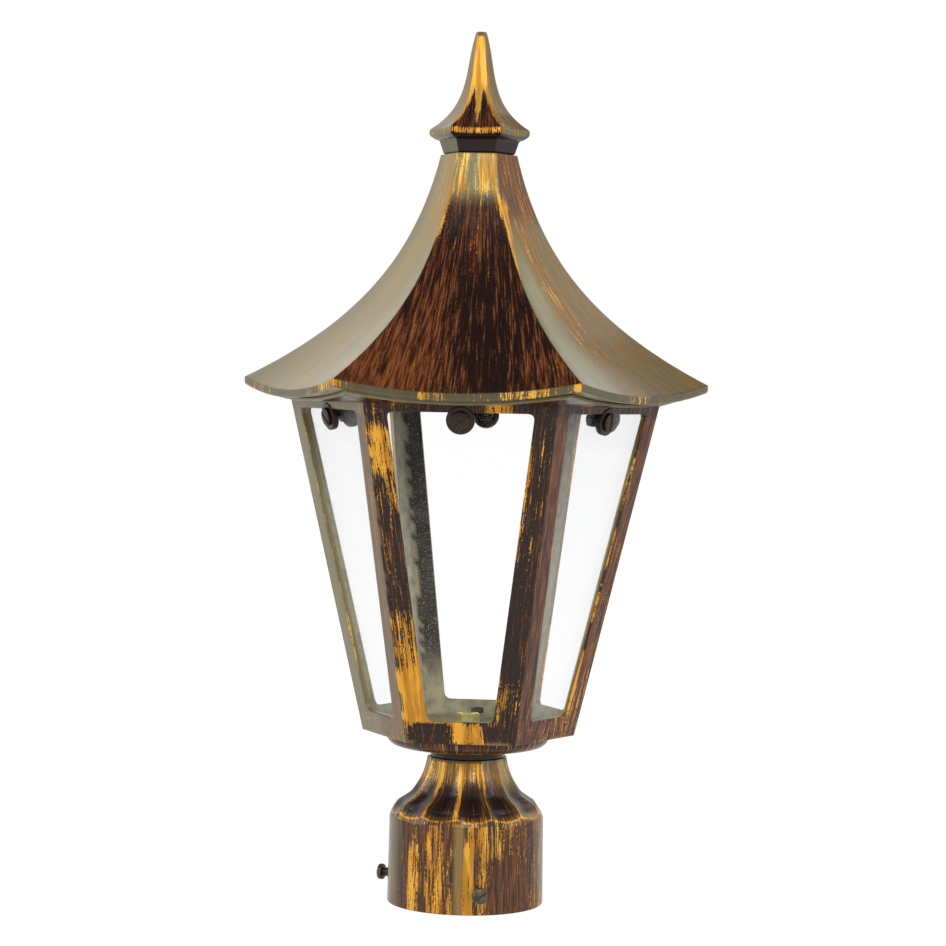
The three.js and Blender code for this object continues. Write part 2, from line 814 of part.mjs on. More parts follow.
function addLampholder() {
  const washerTop = roofTop - roofPlate - fitGap;
  const washerBase = washerTop - studWasherHeight;
  const washer = turned([
    [studHole, washerBase],
    [studHole + studWasherRim, washerBase],
    [studHole + studWasherRim, washerTop],
    [studHole, washerTop],
  ], boltSteps);
  addPiece('roof_washer', geometryOf(solid(washer)), thinMetal);

  const nutTop = washerBase - fitGap;
  const nutBase = nutTop - studNutHeight;
  addPiece('roof_nut', hexNut(studHole, studNutRim, nutBase, nutTop), darkSteel);

  const capTop = nutBase - fitGap;
  const capBase = capTop - capHeight;
  const stud = rod(studRadius, capTop - studHold, finialBase + studEntry);
  addPiece('finial_stud', geometryOf(solid(stud)), darkSteel);

  const shellRadius = lampThreadRadius + shellWall;
  const holderBore = shellRadius + fitGap;
  const holderRadius = holderBore + holderWall;
  const capNeck = studHole + capTopRim;
  const cap = turned([
    [holderRadius - capWall, capBase],
    [holderRadius, capBase],
    [holderRadius, capTop - capHeight * capEdgeShare],
    [holderRadius - capWall, capTop - capHeight * capShoulderShare],
    [capNeck + capWall, capTop - capHeight * capCrownShare],
    [capNeck, capTop],
    [studHole, capTop],
    [studHole, capTop - studHold - fitGap],
    [capNeck, capTop - studHold - fitGap],
    [holderRadius - capWall, capTop - capHeight * capHollowShare],
  ], holderSteps);
  addPiece('lampholder_cap', geometryOf(solid(cap)), ceramic);

  const holderTop = capBase - fitGap;
  const holderBase = holderTop - holderHeight;
  const shellTop = holderBase + holderMouthStep + shellHeight;
  const boreTop = shellTop + fitGap;
  const holder = turned([
    [0, boreTop],
    [holderBore, boreTop],
    [holderBore, holderBase],
    [holderRadius - holderMouthStep, holderBase],
    [holderRadius, holderBase + holderMouthStep],
    [holderRadius, holderTop],
    [0, holderTop],
  ], holderSteps);
  addPiece('lampholder_body', geometryOf(solid(holder)), ceramic);

  const contactHole = contactRadius + contactPlay;
  const shell = turned([
    [contactHole, shellTop - shellWall],
    [lampThreadRadius, shellTop - shellWall],
    [lampThreadRadius, holderBase + holderMouthStep],
    [shellRadius, holderBase + holderMouthStep],
    [shellRadius, shellTop],
    [contactHole, shellTop],
  ], holderSteps);
  addPiece('lampholder_shell', geometryOf(solid(shell)), thinMetal);

  const contact = turned([
    [0, shellTop - contactHeight],
    [contactRadius * contactTipShare, shellTop - contactHeight],
    [contactRadius, shellTop - contactHeight * contactStemShare],
    [contactRadius, shellTop],
    [0, shellTop],
  ], boltSteps);
  addPiece('lampholder_contact', geometryOf(solid(contact)), brass);
}

addCollar();
addBase();
addCage();
addPanes();
addRoof();
addLampholder();

export default lantern;
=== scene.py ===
# %% [markdown]
# # A post top lantern in brushed gold lacquer
# The real lantern is cast aluminium: a fluted collar for the post, a pan, a six-sided cage of
# posts with glass behind them, a hollow roof that sweeps out to its eave, and a spire.
# Each casting is lacquered nearly black and then brushed with gold, so the brush strokes run
# along every part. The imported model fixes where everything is, and this script dresses it.

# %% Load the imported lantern
import json
import math

import bmesh
import bpy
import numpy as np
from mathutils import Matrix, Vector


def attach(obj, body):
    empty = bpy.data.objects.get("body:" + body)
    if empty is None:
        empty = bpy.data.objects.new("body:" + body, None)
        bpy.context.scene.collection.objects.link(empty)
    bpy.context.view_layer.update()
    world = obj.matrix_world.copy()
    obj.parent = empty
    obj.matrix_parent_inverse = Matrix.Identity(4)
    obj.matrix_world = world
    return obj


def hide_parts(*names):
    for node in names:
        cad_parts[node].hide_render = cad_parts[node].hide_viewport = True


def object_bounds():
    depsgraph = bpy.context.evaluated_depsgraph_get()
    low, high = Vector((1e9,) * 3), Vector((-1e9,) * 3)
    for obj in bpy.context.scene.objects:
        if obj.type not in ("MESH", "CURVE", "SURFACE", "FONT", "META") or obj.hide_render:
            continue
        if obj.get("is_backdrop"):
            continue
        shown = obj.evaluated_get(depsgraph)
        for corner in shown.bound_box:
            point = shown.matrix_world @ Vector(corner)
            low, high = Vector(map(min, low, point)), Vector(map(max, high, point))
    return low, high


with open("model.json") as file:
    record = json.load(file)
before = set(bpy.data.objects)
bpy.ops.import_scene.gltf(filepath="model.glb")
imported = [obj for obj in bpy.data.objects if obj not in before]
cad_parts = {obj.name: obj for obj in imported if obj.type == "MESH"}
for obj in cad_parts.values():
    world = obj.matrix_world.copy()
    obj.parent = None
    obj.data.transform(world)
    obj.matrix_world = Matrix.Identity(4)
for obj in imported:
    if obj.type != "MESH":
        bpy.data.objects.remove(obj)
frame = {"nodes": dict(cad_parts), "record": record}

packed_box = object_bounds()
print("packed box", [[round(v, 4) for v in corner] for corner in packed_box])

# %% [markdown]
# ## The view
# The photograph looks at the front face from a little to the right, level with the eave and
# tipped slightly down, with a long lens. A camera is its place and three directions, so those
# are worked out first and then set as the columns of its matrix. Roll leans the picture by a
# degree, as a hand-held camera does.

# %% Place the camera
camera_distance = 1.48617
camera_turn = math.radians(4.7055)
camera_height = 0.28866
camera_pitch = math.radians(2.1008)
camera_roll = math.radians(1.1119)

camera_place = np.array([
    camera_distance * math.sin(camera_turn),
    -camera_distance * math.cos(camera_turn),
    camera_height,
])
level_ahead = np.array([-math.sin(camera_turn), math.cos(camera_turn), 0.0])
level_right = np.array([math.cos(camera_turn), math.sin(camera_turn), 0.0])
straight_up = np.array([0.0, 0.0, 1.0])
camera_ahead = level_ahead * math.cos(camera_pitch) - straight_up * math.sin(camera_pitch)
pitched_up = straight_up * math.cos(camera_pitch) + level_ahead * math.sin(camera_pitch)
camera_right = level_right * math.cos(camera_roll) + pitched_up * math.sin(camera_roll)
camera_up = pitched_up * math.cos(camera_roll) - level_right * math.sin(camera_roll)


def linked(name, data):
    """A new object of the scene that shows the data."""
    thing = bpy.data.objects.new(name, data)
    bpy.context.scene.collection.objects.link(thing)
    return thing


def placed(thing, rightward, upward, backward, place):
    """Gives an object its X, Y and Z directions and its place, the columns of its matrix."""
    columns = np.eye(4)
    columns[:3] = np.stack([rightward, upward, backward, place], axis=1)
    thing.matrix_world = Matrix(columns.tolist())


camera_data = bpy.data.cameras.new("camera")
camera_data.sensor_width = 36
camera_data.lens = 104.03
camera = linked("camera", camera_data)
placed(camera, camera_right, camera_up, -camera_ahead, camera_place)
bpy.context.scene.camera = camera
print("camera at", camera_place.round(4))

# %% [markdown]
# ## Shader arithmetic
# A finish is a formula over the surface, and Blender writes a formula as a web of nodes. A
# small class wraps a node's output, so that plus and times on it add the Math nodes, and one
# method makes every other node from its type, its settings and what goes into its sockets.

# %% Wrap sockets so that formulas read as arithmetic
class Wire:
    """A node's output: + - * / on it add Math nodes, and rising() is a smooth step."""

    def __init__(self, recipe, socket):
        self.recipe = recipe
        self.socket = socket

    def operate(self, operation, first, second):
        return self.recipe.node("ShaderNodeMath", {"operation": operation}, {0: first, 1: second})

    def __add__(self, other):
        return self.operate("ADD", self, other)

    def __sub__(self, other):
        return self.operate("SUBTRACT", self, other)

    def __rsub__(self, other):
        return self.operate("SUBTRACT", other, self)

    def __mul__(self, other):
        return self.operate("MULTIPLY", self, other)

    def __truediv__(self, other):
        return self.operate("DIVIDE", self, other)

    __radd__ = __add__
    __rmul__ = __mul__

    def larger(self, other):
        return self.operate("MAXIMUM", self, other)

    def rising(self, low, high):
        """Zero below low, one above high, and 3x^2 - 2x^3 between them."""
        return self.recipe.node(
            "ShaderNodeMapRange",
            {"interpolation_type": "SMOOTHSTEP"},
            {"Value": self, "From Min": low, "From Max": high},
        )


class Recipe:
    """The nodes of a material or of the world, made one call at a time."""

    def __init__(self, owner):
        self.owner = owner
        owner.use_nodes = True
        self.tree = owner.node_tree
        self.tree.nodes.clear()

    def node(self, kind, settings=None, inputs=None, output=0):
        made = self.tree.nodes.new(kind)
        for setting, value in (settings or {}).items():
            setattr(made, setting, value)
        for socket, value in (inputs or {}).items():
            if isinstance(value, Wire):
                self.tree.links.new(value.socket, made.inputs[socket])
            else:
                made.inputs[socket].default_value = value
        return Wire(self, made.outputs[output]) if made.outputs else None

    def mix(self, share, first, second):
        """Goes from the first colour to the second as share goes from zero to one.

        A colour mix takes its share at socket 0 and its colours at 6 and 7, and gives output 2.
        """
        first, second = (c if isinstance(c, Wire) else (*c, 1.0) for c in (first, second))
        return self.node("ShaderNodeMix", {"data_type": "RGBA"}, {0: share, 6: first, 7: second}, 2)

    def attribute(self, name):
        """The number that a point attribute of the mesh holds, which is output 2."""
        return self.node("ShaderNodeAttribute", {"attribute_name": name}, output=2)

    def noise(self, place, detail=2.0, roughness=0.5, scale=1.0):
        """Cloudy noise about one half, with one blotch to each unit of place."""
        return self.node("ShaderNodeTexNoise", {}, {
            "Vector": place,
            "Scale": scale,
            "Detail": detail,
            "Roughness": roughness,
        })

    def combined(self, x, y, z):
        return self.node("ShaderNodeCombineXYZ", {}, {0: x, 1: y, 2: z})

    def split(self, vector):
        return [self.node("ShaderNodeSeparateXYZ", {}, {0: vector}, axis) for axis in range(3)]

    def object_place(self):
        return self.node("ShaderNodeTexCoord", output="Object")

    def bump(self, height, distance, strength):
        return self.node("ShaderNodeBump", {}, {
            "Height": height,
            "Distance": distance,
            "Strength": strength,
        })

    def finish(self, **inputs):
        """Ends the recipe in one Principled shader; names use _ for a space."""
        sockets = {name.replace("_", " "): value for name, value in inputs.items()}
        shader = self.node("ShaderNodeBsdfPrincipled", {}, sockets)
        self.node("ShaderNodeOutputMaterial", {}, {"Surface": shader})
        print("finish", self.owner.name, "has", len(self.tree.nodes), "nodes")
        return self.owner


# %% [markdown]
# ## The brushed lacquer
# A painter drags a nearly dry gold brush along dark glossy lacquer. The strokes leave hairs of
# gold less than a millimetre wide and centimetres long, which bunch into broader bands. A brown
# wash went on before, in softer strokes. Where the lacquer faces bright surroundings, its
# reflection is painted into the colour as a pale grey-green painted sheen. So noises are
# stretched along the stroke, at hair, band and patch size, and added up, and where the sum is
# high there is paint. The mesh of each casting says with its attributes gilt and wash how much
# of each the painter left, with a third how much painted sheen it shows, and with inner where
# no brush came. There the metal is unpainted: brown with painted glints, and pale where the
# painted sheen is high.

# %% Brushed gold lacquer
stroke_fleck = (0.00045, 0.0014)
stroke_hair = (0.0006, 0.015)
stroke_wisp = (0.0007, 0.024)
stroke_band = (0.0024, 0.050)
stroke_patch = (0.0085, 0.055)
stroke_hue = (0.0040, 0.030)
lacquer_dark = (0.017, 0.0085, 0.0075)
# Painted sheen: the pale grey-green that reflections give the lacquer, and gold and wash under it.
lacquer_olive = (0.30, 0.265, 0.14)
gold_on_dark = (0.76, 0.37, 0.035)
gold_on_olive = (0.82, 0.55, 0.14)
bronze = (0.50, 0.21, 0.018)
wash_thin = (0.075, 0.022, 0.009)
wash_thick = (0.22, 0.072, 0.021)
wash_on_olive = (0.40, 0.24, 0.045)
raw_dark = (0.060, 0.046, 0.034)
# On unpainted metal, the pale colour where painted sheen lies.
raw_olive = (0.56, 0.51, 0.315)
# Bright specks of painted glints on unpainted metal.
raw_glint = (0.62, 0.60, 0.54)
raw_grit = (0.06, 0.054, 0.034)
gold_needed = 3.0
brown_needed = 2.9


def lacquer_recipe(name):
    """Paint lies where the weighted noises and the painter's mark pass what is needed.

    Gold: 1.8 hair + 1.1 band + 0.5 patch + fleck + 1.6 gilt over gold_needed. Brown: 2 wisp
    + 0.6 hair + band + 0.8 fleck + 1.4 wash over brown_needed.
    """
    recipe = Recipe(bpy.data.materials.new(name))
    across, along, _ = recipe.split(recipe.node("ShaderNodeUVMap", {"uv_map": "brushing"}))
    place = recipe.object_place()
    gilt, wash, olive, inner = (
        recipe.attribute(mark) for mark in ("gilt", "wash", "olive", "inner")
    )

    def strokes(size, seed):
        width, length = size
        return recipe.noise(recipe.combined(across / width, along / length, seed), 2.0, 0.6)

    hair = strokes(stroke_hair, 1.3)
    patch = strokes(stroke_patch, 9.1)
    fleck = strokes(stroke_fleck, 21.7)
    gold = hair * 1.8 + strokes(stroke_band, 5.7) * 1.1 + patch * 0.5 + fleck + gilt * 1.6
    gold = (gold - gold_needed).rising(-0.04, 0.06) * (1 - inner)
    brown = strokes(stroke_wisp, 14.9) * 2.0 + hair * 0.6 + strokes(stroke_band, 17.2) + fleck * 0.8
    brown = (brown + wash * 1.4 - brown_needed).rising(-0.18, 0.26)
    # Painted sheen: the sheen mark of the mesh, varied by the patch noise, lays a reflection into
    # the colour.
    sheen_amount = olive * (patch * 0.5 + 0.75)
    hue = strokes(stroke_hue, 3.3).rising(0.40, 0.60)
    colour = recipe.mix(sheen_amount, lacquer_dark, lacquer_olive)
    wash_on_dark = recipe.mix(hair.rising(0.40, 0.64), wash_thin, wash_thick)
    colour = recipe.mix(brown, colour, recipe.mix(olive, wash_on_dark, wash_on_olive))
    full_gold = recipe.mix(olive, gold_on_dark, gold_on_olive)
    colour = recipe.mix(gold, colour, recipe.mix(hue, bronze, full_gold))
    # Painted glints: bright specks on the unpainted metal, fewer where painted sheen lies.
    glint = recipe.noise(place, 1.0, 0.5, scale=1500.0).rising(0.63, 0.69)
    raw = recipe.mix(glint * (1 - olive) * 0.8, recipe.mix(olive, raw_dark, raw_olive), raw_glint)
    grit = recipe.noise(place, 3.0, 0.6, scale=160.0)
    raw = recipe.mix(grit.rising(0.35, 0.75) * 0.45, raw, raw_grit)
    return recipe.finish(
        Base_Color=recipe.mix(inner, colour, raw),
        Metallic=gold * 0.40 + sheen_amount * 0.25,
        Roughness=0.26 + gold * 0.16 + inner * 0.24 + fleck * 0.06,
        Specular_IOR_Level=0.10,
        Coat_Weight=(1 - inner) * 0.22,
        Coat_Roughness=0.12,
        Normal=recipe.bump(gold * 0.8 + hair * 0.35 + inner * fleck * 1.5, 0.00015, 0.7),
    )


lacquer = lacquer_recipe("gold_brushed_lacquer")

# %% [markdown]
# ## Small metal, glass and ceramic
# The screws are dark steel with a fine rolled grain, the nuts are brass with turning lines
# round their axis, and the lamp's thread is bright plated steel. The panes are clear, with a
# faint mottle from the rolling mill, and the lampholder is glazed ceramic. Each grain is a
# noise on the piece's own place, so it doesn't slide when a joint moves. Screws from the cage's
# foot upwards are painted nearly black as painted shade, while the set screws below still show
# metal.


# %% Steel, brass and plating
# Painted shade: metal that takes it darkens towards the lacquer's black between these heights.
shade_foot = 0.08
shade_full = 0.16


def metal_recipe(name, base, shade, roughness, grain_scale, stretch, painted_shade=0.0):
    """Metal whose grain is noise pressed together along Z, with painted shade between two heights.
    """
    recipe = Recipe(bpy.data.materials.new(name))
    x, y, z = recipe.split(recipe.object_place())
    grain = recipe.noise(recipe.combined(x, y, z * stretch), 3.0, 0.6, scale=grain_scale)
    cloud = recipe.noise(recipe.object_place(), 2.0, 0.5, scale=220.0)
    colour = recipe.mix((grain * 0.6 + cloud * 0.4).rising(0.36, 0.64), base, shade)
    return recipe.finish(
        Base_Color=recipe.mix(z.rising(shade_foot, shade_full) * painted_shade, colour, lacquer_dark),
        Metallic=0.75,
        Roughness=roughness + grain * 0.16,
        Normal=recipe.bump(grain, 0.00005, 0.5),
    )


# Dark steel takes the painted shade, so the screws in and above the cage are darkened.
dark_steel = metal_recipe(
    "dark_screw_steel", (0.055, 0.046, 0.028), (0.125, 0.108, 0.070),
    roughness=0.36, grain_scale=900.0, stretch=1.0, painted_shade=0.72,
)
brass = metal_recipe(
    "brass", (0.72, 0.63, 0.20), (0.95, 0.86, 0.40),
    roughness=0.24, grain_scale=700.0, stretch=5.0,
)
plated_steel = metal_recipe(
    "plated_steel", (0.52, 0.51, 0.47), (0.72, 0.70, 0.64),
    roughness=0.18, grain_scale=600.0, stretch=4.0,
)


# %% Glass and ceramic
def glass_recipe(name):
    """Clear glass, which shows a little more at a slant and where it is mottled."""
    recipe = Recipe(bpy.data.materials.new(name))
    mottle = recipe.noise(recipe.object_place(), 2.0, 0.5, scale=120.0)
    slant = recipe.node("ShaderNodeFresnel", {}, {"IOR": 1.45})
    return recipe.finish(
        Base_Color=recipe.mix(mottle.rising(0.35, 0.65), (0.80, 0.84, 0.93), (0.97, 0.97, 0.98)),
        Roughness=0.06 + mottle * 0.06,
        Alpha=slant * 0.10 + mottle.rising(0.4, 0.7) * 0.010,
        Normal=recipe.bump(mottle, 0.0002, 0.3),
    )


def ceramic_recipe(name):
    """Cream glaze with faint specks and a slow wave."""
    recipe = Recipe(bpy.data.materials.new(name))
    speck = recipe.noise(recipe.object_place(), 2.0, 0.5, scale=900.0)
    wave = recipe.noise(recipe.object_place(), 1.0, 0.5, scale=90.0)
    return recipe.finish(
        Base_Color=recipe.mix(speck.rising(0.55, 0.72), (0.80, 0.77, 0.69), (0.62, 0.58, 0.48)),
        Roughness=0.16 + wave * 0.12,
        Coat_Weight=0.3,
        Coat_Roughness=0.08,
        Normal=recipe.bump(wave, 0.0003, 0.4),
    )


glass = glass_recipe("seeded_glass")
ceramic = ceramic_recipe("holder_ceramic")
finishes = {
    "gold_brushed_lacquer": lacquer,
    "dark_screw_steel": dark_steel,
    "plated_steel": plated_steel,
    "brass": brass,
    "seeded_glass": glass,
    "holder_ceramic": ceramic,
}
for subpart in frame["record"]["subparts"]:
    node_mesh = frame["nodes"][subpart["node"]].data
    node_mesh.materials.clear()
    node_mesh.materials.append(finishes[subpart["material_slot"]])
print("dressed", len(frame["nodes"]), "packed nodes")

# %% [markdown]
# ## Surfaces from grids
# Each new piece is a surface over two numbers: one goes across the brush strokes and the
# other along them. Whole grids of points are worked out at once and handed to the mesh. The
# same two numbers become the UV map, so the strokes follow the shape. Grids that share an edge
# are merged there, and the closed result has its faces turned outwards.

# %% Collect grids into one closed mesh
millimetre = 0.001
merge_distance = 2e-6
made_pieces = []
usual_marks = {"gilt": 0.5, "wash": 0.45, "olive": 0.2, "inner": 0.0}


class Surface:
    """Grids of points in millimetres that are joined into one closed mesh."""

    def __init__(self):
        self.points = []
        self.corners = []
        self.uvs = []
        self.marks = {mark: [] for mark in usual_marks}
        self.total = 0

    def grid(self, points, across, along, closed=False, **marks):
        """Adds points of shape (rows, columns, 3).

        across and along give the UV in millimetres. Each is a number, an array with one column
        more than there are faces in a row, or a pair of arrays for the two sides of each face.
        The marks are numbers or (rows, columns) arrays.
        """
        rows, columns = points.shape[:2]
        spans = columns if closed else columns - 1
        row = np.arange(rows - 1)[:, None]
        column = np.arange(spans)[None, :]
        beside = (column + 1) % columns
        self.corners.append(self.total + np.stack([
            row * columns + column,
            row * columns + beside,
            (row + 1) * columns + beside,
            (row + 1) * columns + column,
        ], axis=-1).reshape(-1, 4))
        sides = []
        for values in (across, along):
            if not isinstance(values, tuple):
                values = np.broadcast_to(values, (rows, spans + 1))
                values = (values[:, :-1], values[:, 1:])
            sides.append(values)
        here, ahead = (
            np.stack([np.broadcast_to(value, (rows, spans)) for value in pair], axis=-1)
            for pair in zip(*sides)
        )
        round_face = np.stack([here[:-1], ahead[:-1], ahead[1:], here[1:]], axis=2)
        self.uvs.append(round_face.reshape(-1, 4, 2))
        self.points.append(points.reshape(-1, 3))
        for mark, usual in usual_marks.items():
            values = np.broadcast_to(marks.get(mark, usual), (rows, columns))
            self.marks[mark].append(values.reshape(-1))
        self.total += rows * columns

    def mesh(self, name):
        """Builds the mesh with its UV map and marks, merges shared edges and counts open ones."""
        corners = np.concatenate(self.corners)
        mesh = bpy.data.meshes.new(name)
        mesh.vertices.add(self.total)
        mesh.vertices.foreach_set("co", (np.concatenate(self.points) * millimetre).ravel())
        mesh.loops.add(corners.size)
        mesh.loops.foreach_set("vertex_index", corners.ravel().astype(np.int32))
        mesh.polygons.add(len(corners))
        mesh.polygons.foreach_set("loop_start", np.arange(0, corners.size, 4, dtype=np.int32))
        brushing = mesh.uv_layers.new(name="brushing")
        brushing.uv.foreach_set("vector", (np.concatenate(self.uvs) * millimetre).ravel())
        for mark, values in self.marks.items():
            layer = mesh.attributes.new(mark, "FLOAT", "POINT")
            layer.data.foreach_set("value", np.concatenate(values).astype(np.float32))
        mesh.update(calc_edges=True)
        shell = bmesh.new()
        shell.from_mesh(mesh)
        bmesh.ops.remove_doubles(shell, verts=shell.verts, dist=merge_distance)
        bmesh.ops.recalc_face_normals(shell, faces=shell.faces)
        open_edges = sum(not edge.is_manifold for edge in shell.edges)
        shell.to_mesh(mesh)
        shell.free()
        return mesh, open_edges

    def made(self, name, slot, body, nodes, smooth=38.0, bevel=0.0):
        """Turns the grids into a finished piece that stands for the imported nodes."""
        mesh, open_edges = self.mesh(name)
        mesh.shade_smooth()
        if smooth:
            mesh.set_sharp_from_angle(angle=math.radians(smooth))
        mesh.materials.append(finishes[slot])
        piece = linked(name, mesh)
        if bevel:
            round_over = piece.modifiers.new("round_over", "BEVEL")
            round_over.width = bevel * millimetre
            round_over.segments = 3
            round_over.limit_method = "ANGLE"
            round_over.angle_limit = math.radians(35)
            round_over.harden_normals = True
        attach(piece, body)
        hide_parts(*nodes)
        made_pieces.append(piece)
        counts = len(mesh.vertices), "points,", len(mesh.polygons), "faces,"
        print(name, *counts, open_edges, "open edges")


def wrapped(values):
    """Repeats the first column after the last, for the UV of a closed grid."""
    return np.hstack([values, values[:, :1]])


def around(radius, angle, height):
    """Points (r cos a, r sin a, z) round the Z axis."""
    return np.stack([radius * np.cos(angle), radius * np.sin(angle), height + 0 * angle], axis=-1)


# %% [markdown]
# ## Outlines
# Most pieces start from an outline, drawn as a list of corners. It is rounded at its corners
# or bent into a smooth curve, and then cut into points at even distances, so that the faces
# made from it are all about the same size.

# %% Work along outlines
def travelled(outline):
    """The distance from an outline's start to each of its points."""
    steps = np.linalg.norm(np.diff(outline, axis=0), axis=1)
    return np.concatenate([[0.0], np.cumsum(steps)])


def fine(outline, step):
    """Cuts each straight stretch of an outline into equal pieces no longer than step."""
    outline = np.asarray(outline, float)
    moves = np.diff(outline, axis=0)
    counts = np.maximum(1, np.ceil(np.linalg.norm(moves, axis=1) / step)).astype(int)
    first = np.repeat(np.cumsum(counts) - counts, counts)
    shares = (np.arange(counts.sum()) - first) / np.repeat(counts, counts)
    starts, moves = (np.repeat(values, counts, axis=0) for values in (outline[:-1], moves))
    return np.vstack([starts + moves * shares[:, None], outline[-1:]])


def eased(outline, reach, steps=4):
    """Rounds each corner C by (1-q)^2 A + 2q(1-q) C + q^2 B, where A and B lie reach from it."""
    outline = np.asarray(outline, float)
    q = np.linspace(0, 1, steps + 1)[:, None]
    parts = [outline[:1]]
    for before, corner, after in zip(outline[:-2], outline[1:-1], outline[2:]):
        back, on = before - corner, after - corner
        lengths = np.linalg.norm(back), np.linalg.norm(on)
        cut = min(reach, 0.45 * lengths[0], 0.45 * lengths[1])
        start = corner + back * cut / lengths[0]
        end = corner + on * cut / lengths[1]
        parts.append((1 - q) ** 2 * start + 2 * q * (1 - q) * corner + q ** 2 * end)
    return np.vstack(parts + [outline[-1:]])


def even(curve, count):
    """Picks count points at equal distances along a dense curve."""
    marks = travelled(curve)
    spots = np.linspace(0, marks[-1], count)
    return np.stack([np.interp(spots, marks, curve[:, axis]) for axis in range(2)], axis=1)


def bezier(start, end, handles, count):
    """(1-t)^3 P + 3t(1-t)^2 Q + 3t^2(1-t) R + t^3 S; Q and R are shares of reach and fall."""
    start, end = np.array(start, float), np.array(end, float)
    first, second = (start + (end - start) * np.array(share) for share in handles)
    t = np.linspace(0, 1, 600)[:, None]
    curve = (1 - t) ** 3 * start + 3 * t * (1 - t) ** 2 * first + 3 * t ** 2 * (1 - t) * second
    return even(curve + t ** 3 * end, count)


def through(points, count):
    """A smooth curve through points: each stretch is 3q^2 - 2q^3 with the chords as slopes."""
    points = np.asarray(points, float)
    marks = travelled(points)
    slopes = np.gradient(points, marks, axis=0)
    spots = np.linspace(0, marks[-1], 40 * len(points))
    before = np.clip(np.searchsorted(marks, spots, side="right") - 1, 0, len(points) - 2)
    gap = (marks[before + 1] - marks[before])[:, None]
    q = (spots[:, None] - marks[before][:, None]) / gap
    leave = (q ** 3 - 2 * q ** 2 + q) * slopes[before]
    arrive = (q ** 3 - q ** 2) * slopes[before + 1]
    curve = (2 * q ** 3 - 3 * q ** 2 + 1) * points[before]
    curve = curve + (3 * q ** 2 - 2 * q ** 3) * points[before + 1]
    return even(curve + gap * (leave + arrive), count)


# %% [markdown]
# ## Where the paint lies
# How much paint a place has is a number that changes over the surface. It is put together
# from soft steps, bells and stops, and each new dab moves the marks toward its own values.

# %% Soft steps, bells and dabs
def bell(distance, width):
    """One at distance zero, falling to nothing a few widths away."""
    return np.exp(-(distance / width) ** 2)


def stepped(value, low, high):
    """Zero below low, one above high, 3x^2 - 2x^3 between."""
    x = np.clip((value - low) / (high - low), 0, 1)
    return x * x * (3 - 2 * x)


def between(value, low, high, soft):
    """One between low and high, with edges that are soft each way."""
    return stepped(value, low - soft, low + soft) * (1 - stepped(value, high - soft, high + soft))


def toward(value, target, share):
    """Goes from the value to the target as share goes from zero to one."""
    return value + (target - value) * share


def painted(marks, where, **targets):
    """Moves the named marks toward their targets as where goes from zero to one."""
    moved = {mark: toward(marks[mark], target, where) for mark, target in targets.items()}
    return {**marks, **moved}


def along_stops(value, *stops):
    """Straight lines between stops of (place, height)."""
    places, heights = zip(*stops)
    return np.interp(value, places, heights)


# %% [markdown]
# ## Six-sided outlines
# Roof, spire and cornice are the same idea: a profile of corner radii and heights, carried
# round a hexagon. A hexagon's side is a straight mix of its two corners, and the corner itself
# is eased a little, because a casting is never knife-sharp. The middle of each side hangs or
# rises by the bow 4s(1-s), which is nothing at the corners and one in the middle.

# %% Carry profiles round a hexagon
side_count = 6
side_turn = 2 * math.pi / side_count
flat_share = math.cos(math.pi / side_count)
front_side, back_side = 4, 1
left_side, right_side = front_side - 1, front_side + 1
side_apart = 160.0


def hexagon(radius, ease, arc=4, straight=14):
    """Points round hexagons, one row for each corner radius.

    On a side from corner A to corner B a point is (1-s) A + s B. Within ease of a corner C
    it is C + (1-q)^2 e (before - C) + q^2 e (after - C), where e is ease over the radius.
    Gives X and Y, the side's number, the share s and the bow 4s(1-s).
    """
    cut = np.minimum(ease / np.maximum(radius, 1e-6), 0.2)[:, None]
    first = np.linspace(0.5, 1, arc + 1)[None, :-1]
    last = np.linspace(0, 0.5, arc + 1)[None, 1:-1]
    span = np.linspace(0, 1, straight + 1)[None, :]
    middle = cut + (1 - 2 * cut) * span
    no_first, no_last, no_middle = (np.zeros_like(cut * part) for part in (first, last, middle))
    before = np.hstack([(1 - first) ** 2 * cut, no_middle, no_last])
    end = np.hstack([first ** 2 * cut, middle, 1 - ((1 - last) ** 2 + last ** 2) * cut])
    beyond = np.hstack([no_first, no_middle, last ** 2 * cut])
    weights = (before, 1 - before - end - beyond, end, beyond)
    share = np.hstack([cut * (2 * first - 1), middle, 1 - cut * (1 - 2 * last)])
    side = np.repeat(np.arange(side_count), share.shape[1])[None, :]
    share = np.tile(share, (1, side_count))
    x, y = (
        sum(
            np.tile(weight, (1, side_count)) * turn((side + offset) * side_turn)
            for offset, weight in zip((-1, 0, 1, 2), weights)
        ) * radius[:, None]
        for turn in (np.cos, np.sin)
    )
    return x, y, side, share, 4 * share * (1 - share)


def carried(surface, profile, drop_at, marks_at, ease, spread, start, inner_at=None, closed=False):
    """Adds a profile of corner radii and heights, carried round a hexagon.

    The UV goes across by (s - 1/2)(b + g r), where spread is b and g, so that the strokes fan
    out a little less than the side does, and along by the distance down the profile.
    """
    outline = np.vstack([profile, profile[:1]]) if closed else profile
    radius, height = outline.T
    x, y, side, share, bow = hexagon(radius, ease)
    points = np.stack([x, y, height[:, None] - drop_at(radius)[:, None] * bow], axis=-1)
    along = travelled(outline)[:, None] + start
    width = (spread[0] + spread[1] * radius)[:, None]
    next_share = np.roll(share, -1, axis=1)
    next_share = np.where(next_share == 0, 1.0, next_share)
    across = tuple(side * side_apart + start + (part - 0.5) * width for part in (share, next_share))
    marks = marks_at(side, share, radius[:, None], height[:, None])
    inner = 0.0 if inner_at is None else inner_at(along - start)
    surface.grid(points, across, (along, along), closed=True, inner=inner, **marks)


